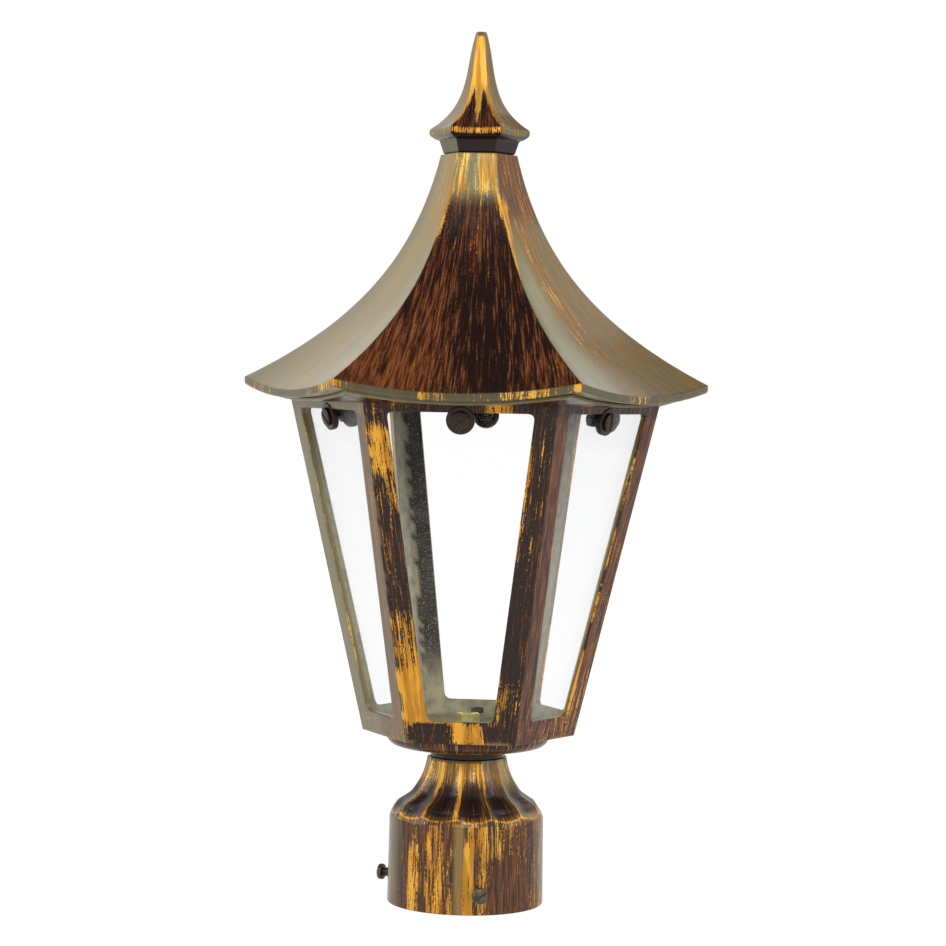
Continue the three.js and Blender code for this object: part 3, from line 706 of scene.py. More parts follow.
# %% [markdown]
# ## Roof
# The roof is a thin shell whose sides hollow in and then sweep out nearly level at the eave.
# The eave hangs a few millimetres lower in the middle of each side than at its corners. The
# hips could be modelled as separate ridges, but on the real casting the sides simply meet, so
# one profile carried round gives the whole skin, outside and inside.

# %% Roof
roof_top = (21.0, 406.4)
eave_tip = (126.5, 284.2)
eave_edge = (126.5, 281.295)
eave_foot = (125.88, 280.05)
eave_sag = 6.5
roof_wall = 3.0 / flat_share
roof_handles = [(0.125, 0.441), (0.399, 0.741)]
rod_hole = 4.3
stud_way = rod_hole / flat_share
ceiling = 402.4
rim_inside = (110.96, 278.64)

hip = bezier(roof_top, eave_tip, roof_handles, 120)
ahead_on_hip = np.gradient(hip, axis=0)
ahead_on_hip /= np.linalg.norm(ahead_on_hip, axis=1)[:, None]
under_hip = hip + roof_wall * np.stack([ahead_on_hip[:, 1], -ahead_on_hip[:, 0]], axis=1)
under_hip = under_hip[(under_hip[:, 0] < rim_inside[0]) & (under_hip[:, 1] < ceiling)]


def roof_sag(radius):
    """The eave's sag grows with the 2.5th power of the way out."""
    return eave_sag * np.clip((radius - roof_top[0]) / (eave_tip[0] - roof_top[0]), 0, 1) ** 2.5


roof_profile = np.vstack([
    fine(eased([(stud_way, roof_top[1]), roof_top, tuple(hip[1])], 0.6), 3.0)[:-1],
    hip[1:-1],
    fine(eased([
        tuple(hip[-1]),
        eave_edge,
        eave_foot,
        rim_inside,
        (rim_inside[0], under_hip[-1, 1]),
        tuple(under_hip[-1]),
    ], 0.5), 1.5)[:-1],
    under_hip[::-2],
    fine([(under_hip[0, 0], ceiling), (stud_way, ceiling)], 4.0),
])

# %% [markdown]
# The painter left the top of the front all gold, with painted sheen between the strokes, and
# drew gold down its right hip. Below, the front is nearly black with brown hairs, thickest at
# the lower left. The sides beside it carry painted sheen, a reflection laid into their colour:
# the left one is smooth and pale with it, the right one has it low beside the front hip and
# orange streaks in its middle. The lip was dabbed from below here and there.

# %% Paint the roof
# The third row gives each side its painted sheen: high on the sides, none on the front and back.
roof_side_marks = {
    "gilt": np.array([0.18, 0.14, 0.12, 0.08, 0.12, 0.16]),
    "wash": np.array([0.50, 0.46, 0.42, 0.38, 0.47, 0.52]),
    "olive": np.array([0.45, 0.02, 0.70, 0.85, 0.00, 0.48]),
}


def roof_marks(side, share, radius, height):
    down = roof_top[1] - height
    from_left, from_right = share * radius, (1 - share) * radius
    front, left, right = ((side == number) * 1.0 for number in (front_side, left_side, right_side))
    dark = front + (side == back_side)
    marks = {mark: values[side] + 0.0 * down for mark, values in roof_side_marks.items()}

    lower_left = dark * 0.16 * bell(share - 0.15, 0.3) * stepped(down, 55, 105)
    middle = dark * 0.22 * bell(share - 0.62, 0.17) * stepped(down, 45, 80)
    marks["wash"] = marks["wash"] + lower_left - middle + dark * 0.07 * stepped(down, 100, 116)
    marks["gilt"] = marks["gilt"] + dark * 0.07 * between(down, 25, 62, 8)
    marks = painted(marks, front * bell(from_left, 1.4) * (1 - stepped(down, 42, 54)), gilt=0.62)
    marks = painted(marks, front * bell(from_right, 2.4) * (1 - stepped(down, 30, 44)), gilt=0.70)

    # Painted sheen on the right side, low down beside the front hip.
    pale_sheen = right * between(share, 0.02, 0.30, 0.05) * stepped(down, 40, 75)
    marks = painted(marks, pale_sheen, gilt=0.05, wash=0.15, olive=0.95)
    streaks = right * bell(share - 0.42, 0.12) * between(down, 30, 108, 8)
    marks = painted(marks, streaks, gilt=0.43, wash=0.80, olive=0.4)
    top = right * (1 - stepped(down, 30, 42))
    marks = painted(marks, top, gilt=0.32, wash=0.68, olive=0.12)
    drawn = right * (1 - stepped(from_left + (down - 34) * 0.06, 3.4, 5.4))
    marks = painted(marks, drawn * between(down, 27, 70, 7), gilt=0.84)

    marks = painted(marks, left * bell(share - 0.5, 0.22) * stepped(down, 30, 60), wash=0.52)
    # Painted sheen on the left side: near its outer edge, and strongest low beside the front hip.
    marks = painted(marks, left * (1 - stepped(share, 0.1, 0.4)), olive=0.66)
    marks = painted(marks, left * stepped(share, 0.72, 0.9) * stepped(down, 40, 80), olive=1.0)
    beige = left * stepped(share, 0.35, 0.7) * (1 - stepped(down, 30, 60))
    marks = painted(marks, beige, gilt=0.30, wash=0.66)

    # Between the crown's gold strokes lies painted sheen.
    crown = dark * (1 - stepped(down, 17, 31))
    marks = painted(marks, crown, gilt=0.48, wash=0.20, olive=0.76)

    lip = stepped(radius, eave_tip[0] - 1.2, eave_tip[0] - 0.2) * (height < eave_tip[1] + 0.2)
    front_lip = along_stops(
        share, (0, 0.62), (0.03, 0.62), (0.05, 0.2), (0.31, 0.2), (0.33, 0.68), (0.355, 0.66),
        (0.365, 0.42),
        (0.38, 0.66), (0.42, 0.68), (0.44, 0.2), (0.56, 0.22), (0.6, 0.4), (0.67, 0.4),
        (0.69, 0.57),
        (0.90, 0.58), (0.915, 0.2), (0.965, 0.2), (0.985, 0.72),
    )
    side_lip = 0.28 + 0.16 * np.sin(9 * share + 2 * side)
    return painted(marks, lip, gilt=toward(side_lip, front_lip, front), wash=0.2, olive=0.32)


def roof_inner(along):
    """One on the inside of the shell, past the lip's foot."""
    return stepped(along, travelled(hip)[-1] + 26, travelled(hip)[-1] + 30)


roof_skin = Surface()
carried(
    roof_skin, roof_profile, roof_sag, roof_marks,
    ease=0.9, spread=(24.0, 0.42), start=1000.0, inner_at=roof_inner, closed=True,
)
roof_skin.made("roof_skin", "gold_brushed_lacquer", "roof_assembly", ["roof"])

# %% [markdown]
# ## Finial
# The spire is the roof's shape again, on a flared rim with a narrow foot under it. The foot
# is painted nearly black, with some painted sheen, most on the left. The spire's front is
# nearly all gold, with two dark flames left at its bottom, its other sides carry painted
# sheen, and the brush picked out the rim's edge.

# %% Finial
finial_rim = (27.4, 419.8)
finial_tip = (2.9, 472.7)
finial_base = 406.7
finial_hollow = 424.7
rim_sag = 0.8
spire = bezier(finial_tip, finial_rim, [(0.26, 0.38), (0.07, 0.74)], 70)[::-1]


def finial_sag(radius):
    return rim_sag * np.maximum(0, (radius - 21.8) / 5.6)


# The second row is each side's painted sheen on the spire, the third that of the foot under the
# rim.
finial_side_marks = {
    "gilt": np.array([0.30, 0.62, 0.28, 0.24, 0.86, 0.24]),
    "olive": np.array([0.45, 0.30, 0.50, 0.60, 0.30, 0.42]),
    "cove_sheen": np.array([0.10, 0.00, 0.25, 0.38, 0.00, 0.00]),
}


def finial_marks(side, share, radius, height):
    """Marks of the spire and its rim; the third value per side is the painted sheen of the foot
    under the rim.
    """
    gilt, olive, cove_sheen = (values[side] + 0.0 * height for values in finial_side_marks.values())
    on_spire = height > 421
    by_left = (side == left_side) * stepped(share, 0.5, 0.9)
    by_front = by_left + (side == right_side) * (1 - stepped(share, 0.1, 0.5))
    marks = {"gilt": gilt, "wash": 0.45 + 0.30 * by_front * on_spire, "olive": olive}
    flame_top = 422 + 19 * np.abs(np.sin(2 * math.pi * share)) ** 1.2
    flame = (gilt > 0.5) * (1 - stepped(height, flame_top - 3, flame_top + 3))
    marks = painted(marks, flame, gilt=0.08, olive=0.0)
    hip_by_front = (side == right_side) * (1 - stepped(share, 0.1, 0.3)) * on_spire
    marks = painted(marks, hip_by_front, gilt=0.48)
    marks = painted(marks, stepped(height, 469.3, 471.0), gilt=0.30)
    on_rim = stepped(height, 416.4, 417.2) * (1 - stepped(height, 419.9, 421.0))
    marks = painted(marks, on_rim, gilt=np.where(side == front_side, 0.57, 0.30))
    # The foot under the rim is painted nearly black, with the painted sheen of its side.
    under = 1 - stepped(height, 416.0, 416.9)
    return painted(marks, under, gilt=0.04, wash=-0.4, olive=cove_sheen)


finial_foot = eased([
    (stud_way, finial_base), (19.4, finial_base), (21.8, 414.0), (24.04, 414.56), (27.4, 416.8),
    finial_rim, tuple(spire[4]),
], 1.1)
finial_profile = np.vstack([
    fine([(0, finial_hollow), (stud_way, finial_hollow), (stud_way, finial_base)], 3.0),
    fine(finial_foot, 0.6)[1:-1],
    spire[4:],
    fine([finial_tip, (0.0, finial_tip[1])], 0.8)[1:],
])
finial_skin = Surface()
carried(
    finial_skin, finial_profile, finial_sag, finial_marks,
    ease=0.5, spread=(6.0, 0.6), start=2000.0,
)
finial_skin.made("finial_skin", "gold_brushed_lacquer", "roof_assembly", ["finial"])

# %% [markdown]
# ## Post collar
# The collar is a socket with a fluted neck. Its skin is a turned profile whose radius is cut
# back by each flute: a cosine across, an arched foot that starts just above the shoulder, and
# a fade towards the top. Ridges stay sharp because each cosine starts from nothing there.

# %% Post collar
socket_radius = 39.0
skirt_radius = 42.5
skirt_height = 47.0
collar_height = 79.5
neck_radius = 21.8
flute_count = 13
flute_turn = math.radians(-10.3)
flute_depth = 3.2
shoulder_shares = np.array([
    (0, 0.975), (0.04, 0.95), (0.08, 0.925), (0.12, 0.895), (0.17, 0.85), (0.24, 0.77),
    (0.32, 0.59), (0.41, 0.4), (0.51, 0.29), (0.64, 0.17), (0.8, 0.07), (1, 0),
])
shoulder = through(np.stack([
    neck_radius + (skirt_radius - neck_radius) * shoulder_shares[:, 1],
    skirt_height + (collar_height - skirt_height) * shoulder_shares[:, 0],
], axis=1), 90)
collar_outside = np.vstack([
    fine(eased([(socket_radius, 0), (skirt_radius, 0), tuple(shoulder[0])], 0.8), 1.6)[:-1],
    shoulder,
])
collar_inside = fine(eased([
    (neck_radius, collar_height), (rod_hole, collar_height), (rod_hole, 76.0), (17.3, 76.0),
    (17.3, 72.5),
    (18.8, 66.5), (24.2, 58.7), (31.7, 52.5), (socket_radius, 43.5), (socket_radius, 0),
], 0.4), 3.0)[1:]
collar_profile = np.vstack([collar_outside, collar_inside])


def turned_grid(surface, profile, columns, start, cut=0.0, turn=0.0, **marks):
    """Turns a profile round Z, with its radius cut back where a cut is given.

    The UV goes across by the angle times the widest radius.
    """
    radius, height = np.asarray(profile, float).T
    angle = np.arange(columns) * 2 * math.pi / columns + turn
    radius = radius[:, None] - cut
    points = around(radius, angle, height[:, None])
    across = np.arange(columns + 1)[None, :] * 2 * math.pi / columns * radius.max() + start
    surface.grid(points, across, travelled(profile)[:, None] + start, closed=True, **marks)


flute_columns = 16
collar_columns = flute_count * flute_columns
flute_across = (np.arange(collar_columns) % flute_columns) / flute_columns - 0.5
neck_share = ((collar_profile[:, 1] - skirt_height) / (collar_height - skirt_height))[:, None]
outer_rows = (np.arange(len(collar_profile)) < len(collar_outside))[:, None]
flute_start = 0.07 + 0.05 * (2 * flute_across) ** 2
flute_foot = np.clip((neck_share - flute_start) / 0.1, 0, 1)
flute_cut = flute_depth * flute_foot * (1 - 0.7 * neck_share) * np.cos(math.pi * flute_across)
flute_cut = np.where(outer_rows & (neck_share > 0), flute_cut, 0.0)

# %% [markdown]
# The paint on the skirt changes with the angle from the front, in degrees towards +X: a few
# broad strokes of gold, a gap beside the brightest one that holds a painted highlight, and finer
# gold further right. Painted sheen lies along the skirt's edges, in that gap and in the flutes at
# about 66 degrees right, and is left out of the flutes' feet. Higher up the flutes are gold at
# their tops and on their ridges, and black at their feet.

# %% Paint the collar
collar_angle = np.degrees(np.arange(collar_columns) * 2 * math.pi / collar_columns + flute_turn)
from_front = (collar_angle + 270) % 360 - 180
mirrored = 180 * np.sign(from_front) - from_front
from_front = np.where(np.abs(from_front) > 90, mirrored, from_front)
skirt_gilt = along_stops(
    from_front, (-90, 0.12), (-55, 0.16), (-48, 0.28), (-43, 0.24), (-41, 0.60), (-33, 0.58),
    (-30, 0.24), (-26, 0.3), (-24, 0.53), (-12, 0.54), (-10, 0.28), (-8, 0.54), (-5, 0.52),
    (-3, 0.26), (2, 0.26), (3.5, 0.72), (10, 0.68), (12, 0.24), (13.5, 0.24), (14.5, 0.58),
    (18, 0.56), (20, 0.37), (58, 0.34),
    (75, 0.42), (90, 0.2),
)
# Painted sheen round the skirt: along its two edges and in a narrow band at the front.
collar_olive = along_stops(
    from_front, (-90, 0.50), (-60, 0.32), (-48, 0.06), (-5, 0.08), (-2, 0.62), (2, 0.62), (4, 0.1),
    (64, 0.04), (80, 0.3), (90, 0.45),
)
collar_up = collar_profile[:, 1:]
skirt_gilt = skirt_gilt - 0.34 * bell(from_front + 46, 14) * stepped(collar_up, 32, 40)
skirt_gilt = skirt_gilt - 0.60 * bell(from_front - 1, 6) * stepped(collar_up, 34, 41)
skirt_gilt = skirt_gilt + 0.14 * bell(from_front - 24, 9) * stepped(collar_up, 26, 34)
skirt_gilt = skirt_gilt - 0.30 * bell(from_front - 38, 14) * (1 - stepped(collar_up, 18, 34))
flute_round = np.cos(math.pi * flute_across) ** 0.5
pit = stepped(flute_foot, 0.3, 1.0) * (1 - stepped(neck_share, 0.38, 0.75)) * flute_round
ridge = bell(np.abs(np.abs(flute_across) - 0.5), 0.10) * stepped(neck_share, 0.08, 0.2)
ridge_gilt = 0.13 + 0.34 * bell(from_front + 16, 34)
flute_gilt = 0.38 + 0.11 * stepped(neck_share, 0.3, 0.75) * (1 - stepped(from_front, 18, 42))
pit_loss = 0.34 + 0.12 * stepped(from_front, -45, -15)
collar_gilt = np.where(neck_share > 0, flute_gilt, skirt_gilt) + ridge_gilt * ridge - pit * pit_loss
collar_gilt = collar_gilt + 0.28 * bell(neck_share - flute_start, 0.014) * (neck_share > 0)
collar_gilt = toward(collar_gilt, 0.10, stepped(neck_share, 0.955, 0.985))
# Painted sheen in the flutes at about 66 degrees right, and more towards the top.
flute_olive = 0.10 + 0.75 * bell(from_front - 66, 16) * flute_round
flute_olive = flute_olive + 0.25 * stepped(neck_share, 0.5, 0.9)
collar_olive = toward(collar_olive, flute_olive, stepped(neck_share, 0, 0.1)) * (1 - pit)
collar_olive = np.where(outer_rows, collar_olive, 0.5)
collar_wash = 0.54 - 0.28 * pit - 0.16 * (1 - stepped(from_front, -60, -30))

collar_skin = Surface()
turned_grid(
    collar_skin, collar_profile, collar_columns, 3000.0, flute_cut, flute_turn,
    gilt=collar_gilt, wash=collar_wash, olive=collar_olive, inner=np.where(outer_rows, 0.0, 1.0),
)
collar_skin.made("collar_skin", "gold_brushed_lacquer", "lantern", ["post_collar"])

# %% [markdown]
# ## Base pan
# The pan is a shallow turned bowl between the collar and the cage, on a short dark neck. It is
# round while the cage is six-sided, so its rim stays just inside the cage's flats.

# %% Base pan
pan_foot = 79.8
pan_top = 92.2
pan_neck = (20.2, 84.2)
pan_rim = 44.54
pan_floor = 87.76
pan_hub = 11.3
pan_columns = 128
bowl_reach = np.array([24.34, pan_top - pan_neck[1]])
bowl_shares = np.array([
    (0, 0), (0.3, 0.02), (0.55, 0.07), (0.75, 0.17), (0.89, 0.34), (0.97, 0.62), (1, 1),
])
bowl = through(np.array(pan_neck) + bowl_reach * bowl_shares, 50)
pan_profile = np.vstack([
    fine(eased([(rod_hole, pan_foot), (pan_neck[0], pan_foot), pan_neck], 0.4), 1.0),
    bowl[1:],
    fine(eased([
        (pan_rim, pan_top), (41.54, pan_top), (38.86, 89.92), (35.46, 88.56), (30.59, pan_floor),
        (pan_hub, pan_floor), (pan_hub, pan_top), (rod_hole, pan_top), (rod_hole, pan_foot),
    ], 0.3), 3.0)[1:],
])
pan_gilt = 0.12 + 0.17 * stepped(pan_profile[:, 1:], 86, 91)
pan_gilt = pan_gilt + 0.08 * np.sin(np.arange(pan_columns) * 0.55)
pan_wash = 0.32 + 0.18 * stepped(pan_profile[:, 1:], 84, 88)
pan_skin = Surface()
turned_grid(
    pan_skin, pan_profile, pan_columns, 4000.0, gilt=pan_gilt, wash=pan_wash, olive=0.04,
)
pan_skin.made("pan_skin", "gold_brushed_lacquer", "lantern", ["base_pan"])

# %% [markdown]
# ## Cage
# The cage is one casting: six leaning walls with a tall window in each. A box with holes cut
# by booleans would give long thin faces that can't be rounded, so each wall is a grid that
# runs round its window instead. Its rows start at the wall's outer edge, come in to the
# window, turn through the wall's thickness and go back out on the inside. The edges at the
# window are rounded in the rows, and a bevel rounds the corners where two walls meet.

# %% Cage walls as rings round their windows
cage_foot = 92.5
cage_base_radius = 57.9
cage_growth = 42.5 / 179.5
wall_thickness = 3.2
wall_lean = math.atan(cage_growth * flat_share)
slope = 1 / math.cos(wall_lean)
wall_height = 181.3
wall_top = wall_height * slope
window_low = 11.7 * slope
window_high = 175.4 * slope
window_half_low = 17.54
window_half_high = 38.31
window_round = 4.0
edge_round = 0.7
corner_steps = 4


def half_width(up, depth=0.0):
    """Half the width of a wall at a distance up its slope, depth inside its face."""
    flat = cage_base_radius * flat_share + up * math.sin(wall_lean) - depth * math.cos(wall_lean)
    return flat * math.tan(math.pi / side_count)


def window_ring():
    """The window's outline and the wall's edge, as matched lists of points (across, up)."""
    corners = np.array([
        (-window_half_low, window_low), (window_half_low, window_low),
        (window_half_high, window_high), (-window_half_high, window_high),
    ])
    outer = np.array([
        (-half_width(0), 0), (half_width(0), 0),
        (half_width(wall_top), wall_top), (-half_width(wall_top), wall_top),
    ])
    window, edge = [], []
    for index, count in enumerate((10, 44, 14, 44)):
        start, end = corners[index], corners[(index + 1) % 4]
        before, after = corners[index - 1], corners[(index + 2) % 4]
        reach = np.linalg.norm(end - start)
        tangent = (end - start) / reach
        first = start + tangent * window_round
        last = end - tangent * window_round
        arrive = start + (before - start) / np.linalg.norm(before - start) * window_round
        leave = end + (after - end) / np.linalg.norm(after - end) * window_round
        q = np.linspace(0.5, 1, corner_steps)[:-1, None]
        p = np.linspace(0, 0.5, corner_steps)[1:-1, None]
        s = np.linspace(0, 1, count + 1)[:, None]
        window.append((1 - q) ** 2 * arrive + 2 * q * (1 - q) * start + q ** 2 * first)
        window.append(first + (last - first) * s)
        window.append((1 - p) ** 2 * last + 2 * p * (1 - p) * end + p ** 2 * leave)
        if index in (0, 2):
            foot_first = np.array([first[0], outer[index][1]])
            foot_last = np.array([last[0], outer[index][1]])
        else:
            hand = np.sign(outer[index][0])
            foot_first = np.array([hand * half_width(first[1]), first[1]])
            foot_last = np.array([hand * half_width(last[1]), last[1]])
        here, beyond = outer[index], outer[(index + 1) % 4]
        edge.append(here + (foot_first - here) * (2 * q - 1))
        edge.append(foot_first + (foot_last - foot_first) * s)
        edge.append(foot_last + (beyond - foot_last) * 2 * p)
    return np.vstack(window), np.vstack(edge)


window_line, edge_line = window_ring()
back_low = (wall_thickness - wall_thickness * math.sin(wall_lean)) * slope
back_high = (wall_height - wall_thickness * math.sin(wall_lean)) * slope
back_up = back_low + edge_line[:, 1] / wall_top * (back_high - back_low)
back_line = np.stack([
    edge_line[:, 0] / half_width(edge_line[:, 1]) * half_width(back_up, wall_thickness),
    back_up,
], axis=1)
outwards = edge_line - window_line
outwards /= np.linalg.norm(outwards, axis=1)[:, None]
print("window ring has", len(window_line), "points")


# %% Lay the rings on the six walls
def on_wall(across, up, out, side):
    """A point of a wall: along it, up its slope and out of its face, in millimetres."""
    flat = cage_base_radius * flat_share + up * math.sin(wall_lean) + out * math.cos(wall_lean)
    height = cage_foot + up * math.cos(wall_lean) - out * math.sin(wall_lean)
    turn = (side - front_side) * side_turn
    return np.stack([
        across * math.cos(turn) + flat * math.sin(turn),
        across * math.sin(turn) - flat * math.cos(turn),
        height + 0 * across,
    ], axis=-1)


quarter = np.linspace(0, math.pi / 2, 5)
front_shares = np.array([1.0, 0.84, 0.68, 0.52, 0.36, 0.2])
falling = edge_round * (1 - np.sin(quarter))
growing = edge_round * (1 - np.cos(quarter))
rounded = [*zip(falling, growing), *zip(growing, wall_thickness - falling)]
ring_rows = [(window_line + (edge_line - window_line) * share, 0.0) for share in front_shares]
ring_rows += [(window_line + outwards * out, -deep) for out, deep in rounded]
ring_rows += [
    (window_line + (back_line - window_line) * share, -wall_thickness)
    for share in (0.25, 0.5, 0.75, 1.0)
]
wall_across, wall_up = np.moveaxis(np.stack([row for row, _ in ring_rows]), -1, 0)
wall_out = np.array([out for _, out in ring_rows])[:, None]

# %% [markdown]
# Each wall has a left and a right post, and each post's paint changes on the way up. The front
# wall's left post is gold at the foot and near the top and nearly black between. Its right post
# is dark with a few scratches of gold. Of the walls beside it, the left one carries painted
# sheen, which makes it pale grey-green, and the right one is mahogany brown, with a thin line
# of gold along the window. The window reveals and the inner faces carry painted sheen too,
# except the front and back walls' inner faces above their foot. The walls at the back repeat
# these.

# %% Paint the walls
wall_start, wall_apart, wall_shift = 5000, 130, 37
left_post_stops = (
    (0, 0.78), (36, 0.80), (44, 0.58), (70, 0.48), (78, 0.32), (122, 0.30), (128, 0.44),
    (145, 0.50), (150, 0.62), (169, 0.62), (174, 0.25), (182, 0.2),
)
right_post_stops = (
    (0, 0.37), (30, 0.36), (42, 0.22), (82, 0.18), (88, 0.30), (160, 0.32), (170, 0.2),
    (182, 0.15),
)
wall_like = {0: right_side, 1: front_side, 2: left_side, 3: left_side, 4: front_side, 5: right_side}


def wall_marks(side, across, up, out):
    """Marks of a wall, with up in millimetres from the sill's foot and out from its face."""
    kind = wall_like[side]
    widening = (window_half_high - window_half_low) * (up - window_low)
    window_half = window_half_low + widening / (window_high - window_low)
    from_window = np.abs(np.abs(across) - window_half)
    to_right = stepped(across, -3, 3)
    line = bell(from_window, 0.9) * between(up, 14, 172, 3)
    if kind == front_side:
        scratches = 0.18 * bell(from_window, 2.4) * between(up, 84, 164, 5)
        right_gilt = along_stops(up, *right_post_stops) + scratches
        gilt = toward(along_stops(up, *left_post_stops), right_gilt, to_right)
        sill_gilt = 0.26 + 0.44 * between(across, -5, 13, 0.6)
        gilt = toward(gilt, sill_gilt, 1 - stepped(up, 10.5, 12.5))
        marks = {"gilt": gilt, "wash": 0.36 - 0.04 * to_right, "olive": 0.02}
    elif kind == left_side:
        gilt = toward(0.16 + 0.30 * line * (1 - to_right), 0.28, 1 - stepped(up, 10.5, 13.5))
        # Walls like the left one get painted sheen, less right of the window.
        marks = {"gilt": gilt, "wash": 0.24 + 0.26 * to_right, "olive": 0.55 - 0.25 * to_right}
    else:
        gilt = 0.15 + 0.10 * to_right + 0.24 * line + 0.14 * (1 - stepped(up, 20, 46))
        marks = {"gilt": gilt, "wash": 0.60, "olive": 0.0}
    # The window reveals get painted sheen.
    reveal = stepped(-out, 0.5, 1.2)
    marks = painted(marks, reveal, gilt=0.12, wash=0.32, olive=0.80)
    rail = stepped(up, 176.5, 178.5)
    dabs = 0.36 * between(across, 12, 29, 1) + 0.16 * between(across, -49, -25, 3)
    rail_gilt = 0.20 + (kind == front_side) * dabs
    marks = painted(marks, rail, gilt=rail_gilt, wash=0.42, olive=0.5 * (kind == left_side))
    # The inner faces get painted sheen, except the front and back walls above their foot.
    inner_sheen = 0.9 - 0.9 * (kind == front_side) * stepped(up, 16, 44)
    marks["inner"] = stepped(-out, 2.9, 3.2)
    marks["olive"] = np.where(marks["inner"] > 0.5, inner_sheen, marks["olive"])
    return marks


edge_pull = half_width(wall_up) * np.clip(wall_across / window_half_low, -1, 1)
from_edge = wall_across - edge_pull - wall_out
cage_skin = Surface()
for side in range(side_count):
    points = on_wall(wall_across, wall_up, wall_out, side)
    marks = wall_marks(side, wall_across, wall_up, wall_out)
    uv_across = wrapped(from_edge) + side * wall_apart + wall_start
    uv_along = wrapped(wall_up) + side * wall_shift
    cage_skin.grid(points, uv_across, uv_along, closed=True, **marks)

# %% [markdown]
# ## Cage floor, cornice and lugs
# The floor closes the walls below, with a hole for the nipple. Under the roof a cornice
# stands out from the walls, level in the middle of each side and rising to its corners as the
# eave does, and a low upstand on it keeps the roof in place. A round lug on each wall takes
# the screw that holds the pane.

# %% Floor and wall tops
floor_steps = 10


def edge_places(up):
    """Where the points of a wall's edge lie along it at a height, with both of its ends."""
    at_height = edge_line[np.abs(edge_line[:, 1] - up) < 1e-6, 0]
    return np.unique(np.concatenate([at_height, [-half_width(up), half_width(up)]]).round(9))


def wall_ring(places, up, out):
    """The same places of all six walls; the last of each is left to the next wall."""
    across = places[:-1]
    return np.concatenate([
        on_wall(across, up + 0 * across, out, side) for side in range(side_count)
    ])


def to_hole(outline):
    """Rows that go from a six-sided outline in to the round hole of the nipple."""
    hole = around(rod_hole, np.arctan2(outline[:, 1], outline[:, 0]), outline[:, 2])
    share = np.linspace(0, 1, floor_steps)[:, None, None]
    return outline + (hole - outline) * share


sill_places = edge_places(0.0)
sill_inset = half_width(back_low, wall_thickness) / half_width(0.0)
under_floor = to_hole(wall_ring(sill_places, 0.0, 0.0))
over_floor = to_hole(wall_ring(sill_places * sill_inset, back_low, -wall_thickness))[::-1]
floor_rows = np.concatenate([under_floor, over_floor])
floor_inner = np.repeat([0.0, 1.0], floor_steps)[:, None]
# The floor gets painted sheen, which is pale on its unpainted inside.
cage_skin.grid(
    floor_rows, wrapped(floor_rows[..., 0]) + 6200, wrapped(floor_rows[..., 1]),
    closed=True, gilt=0.2, olive=0.6, inner=floor_inner,
)

top_places = edge_places(wall_top)
top_inset = half_width(back_high, wall_thickness) / half_width(wall_top)
top_rows = np.stack([
    wall_ring(top_places, wall_top, 0.0),
    wall_ring(top_places * top_inset, back_high, -wall_thickness),
])
cage_skin.grid(top_rows, 0.0, np.array([[0.0], [3.0]]), closed=True, inner=1.0)

# %% Cornice with its upstand
cornice_lines = [
    (98.5, 272.0), (100.4, 272.0), (116.0, 277.0), (116.0, 278.8), (109.76, 276.8), (109.76, 281.3),
    (107.76, 280.66), (107.76, 276.16), (98.5, 273.8), (98.5, 272.0),
]
cornice_root, cornice_reach, cornice_lift = 100.4, 15.6, 5.0


def cornice_rise(radius):
    """The middle of a side hangs lower the further out it is."""
    return cornice_lift * np.clip((radius - cornice_root) / cornice_reach, 0, 1)


def cornice_marks(side, share, radius, height):
    """The edge has a painted highlight, strongest at the left of the front, weakest on the right
    side; below it gold dabs on dark.
    """
    edge = stepped(radius, 114.0, 115.2)
    dabs = between(share, 0.17, 0.27, 0.01) + between(share, 0.60, 0.78, 0.02)
    gilt = toward(0.16 + 0.42 * dabs * (side != left_side), 0.12, edge)
    # The cornice's edge gets a painted highlight, strongest at the left of the front.
    front_olive = 0.75 + 0.25 * (share < 0.25) * (side == front_side)
    edge_olive = np.where(side == right_side, 0.45, front_olive)
    return {"gilt": gilt, "wash": toward(0.52, 0.2, edge), "olive": edge * edge_olive}


cornice_profile = fine(eased(cornice_lines, 0.45), 2.5)[:-1]
carried(
    cage_skin, cornice_profile, cornice_rise, cornice_marks,
    ease=0.9, spread=(0.0, 1.0), start=7000.0, closed=True,
)

# %% Lugs and the earth boss
def sleeve(inside, outside, low, high):
    """The outline of a ring's section, from its inner foot round and back."""
    return [(inside, low), (outside, low), (outside, high), (inside, high), (inside, low)]


lug_up = 171.6 * slope
lug_profile = fine(eased(sleeve(2.8, 7.5, -2.8, 0.6), 0.7), 1.0)
lug_angle = np.arange(56) * 2 * math.pi / 56
for side in range(side_count):
    across = lug_profile[:, :1] * np.cos(lug_angle)
    up = lug_up + lug_profile[:, :1] * np.sin(lug_angle)
    lug_points = on_wall(across, up, lug_profile[:, 1:], side)
    uv_across = wrapped(across) + lug_profile[:, 1:] + side * wall_apart + wall_start + 60
    uv_along = wrapped(up)
    cage_skin.grid(lug_points, uv_across, uv_along, closed=True, gilt=0.10, wash=0.22, olive=0.03)

boss_place = (2.5, 30.0, 0.0)
boss_profile = fine(eased(sleeve(2.3, 4.6, 94.0, 99.7), 0.5), 1.5)
boss_points = around(boss_profile[:, :1], lug_angle, boss_profile[:, 1:]) + boss_place
cage_skin.grid(
    boss_points, wrapped(boss_points[..., 0]) + 6400, wrapped(boss_points[..., 1]),
    closed=True, gilt=0.2, olive=0.5, inner=1.0,
)
cage_skin.made(
    "cage_casting", "gold_brushed_lacquer", "lantern", ["lantern_cage"], smooth=0, bevel=0.8,
)

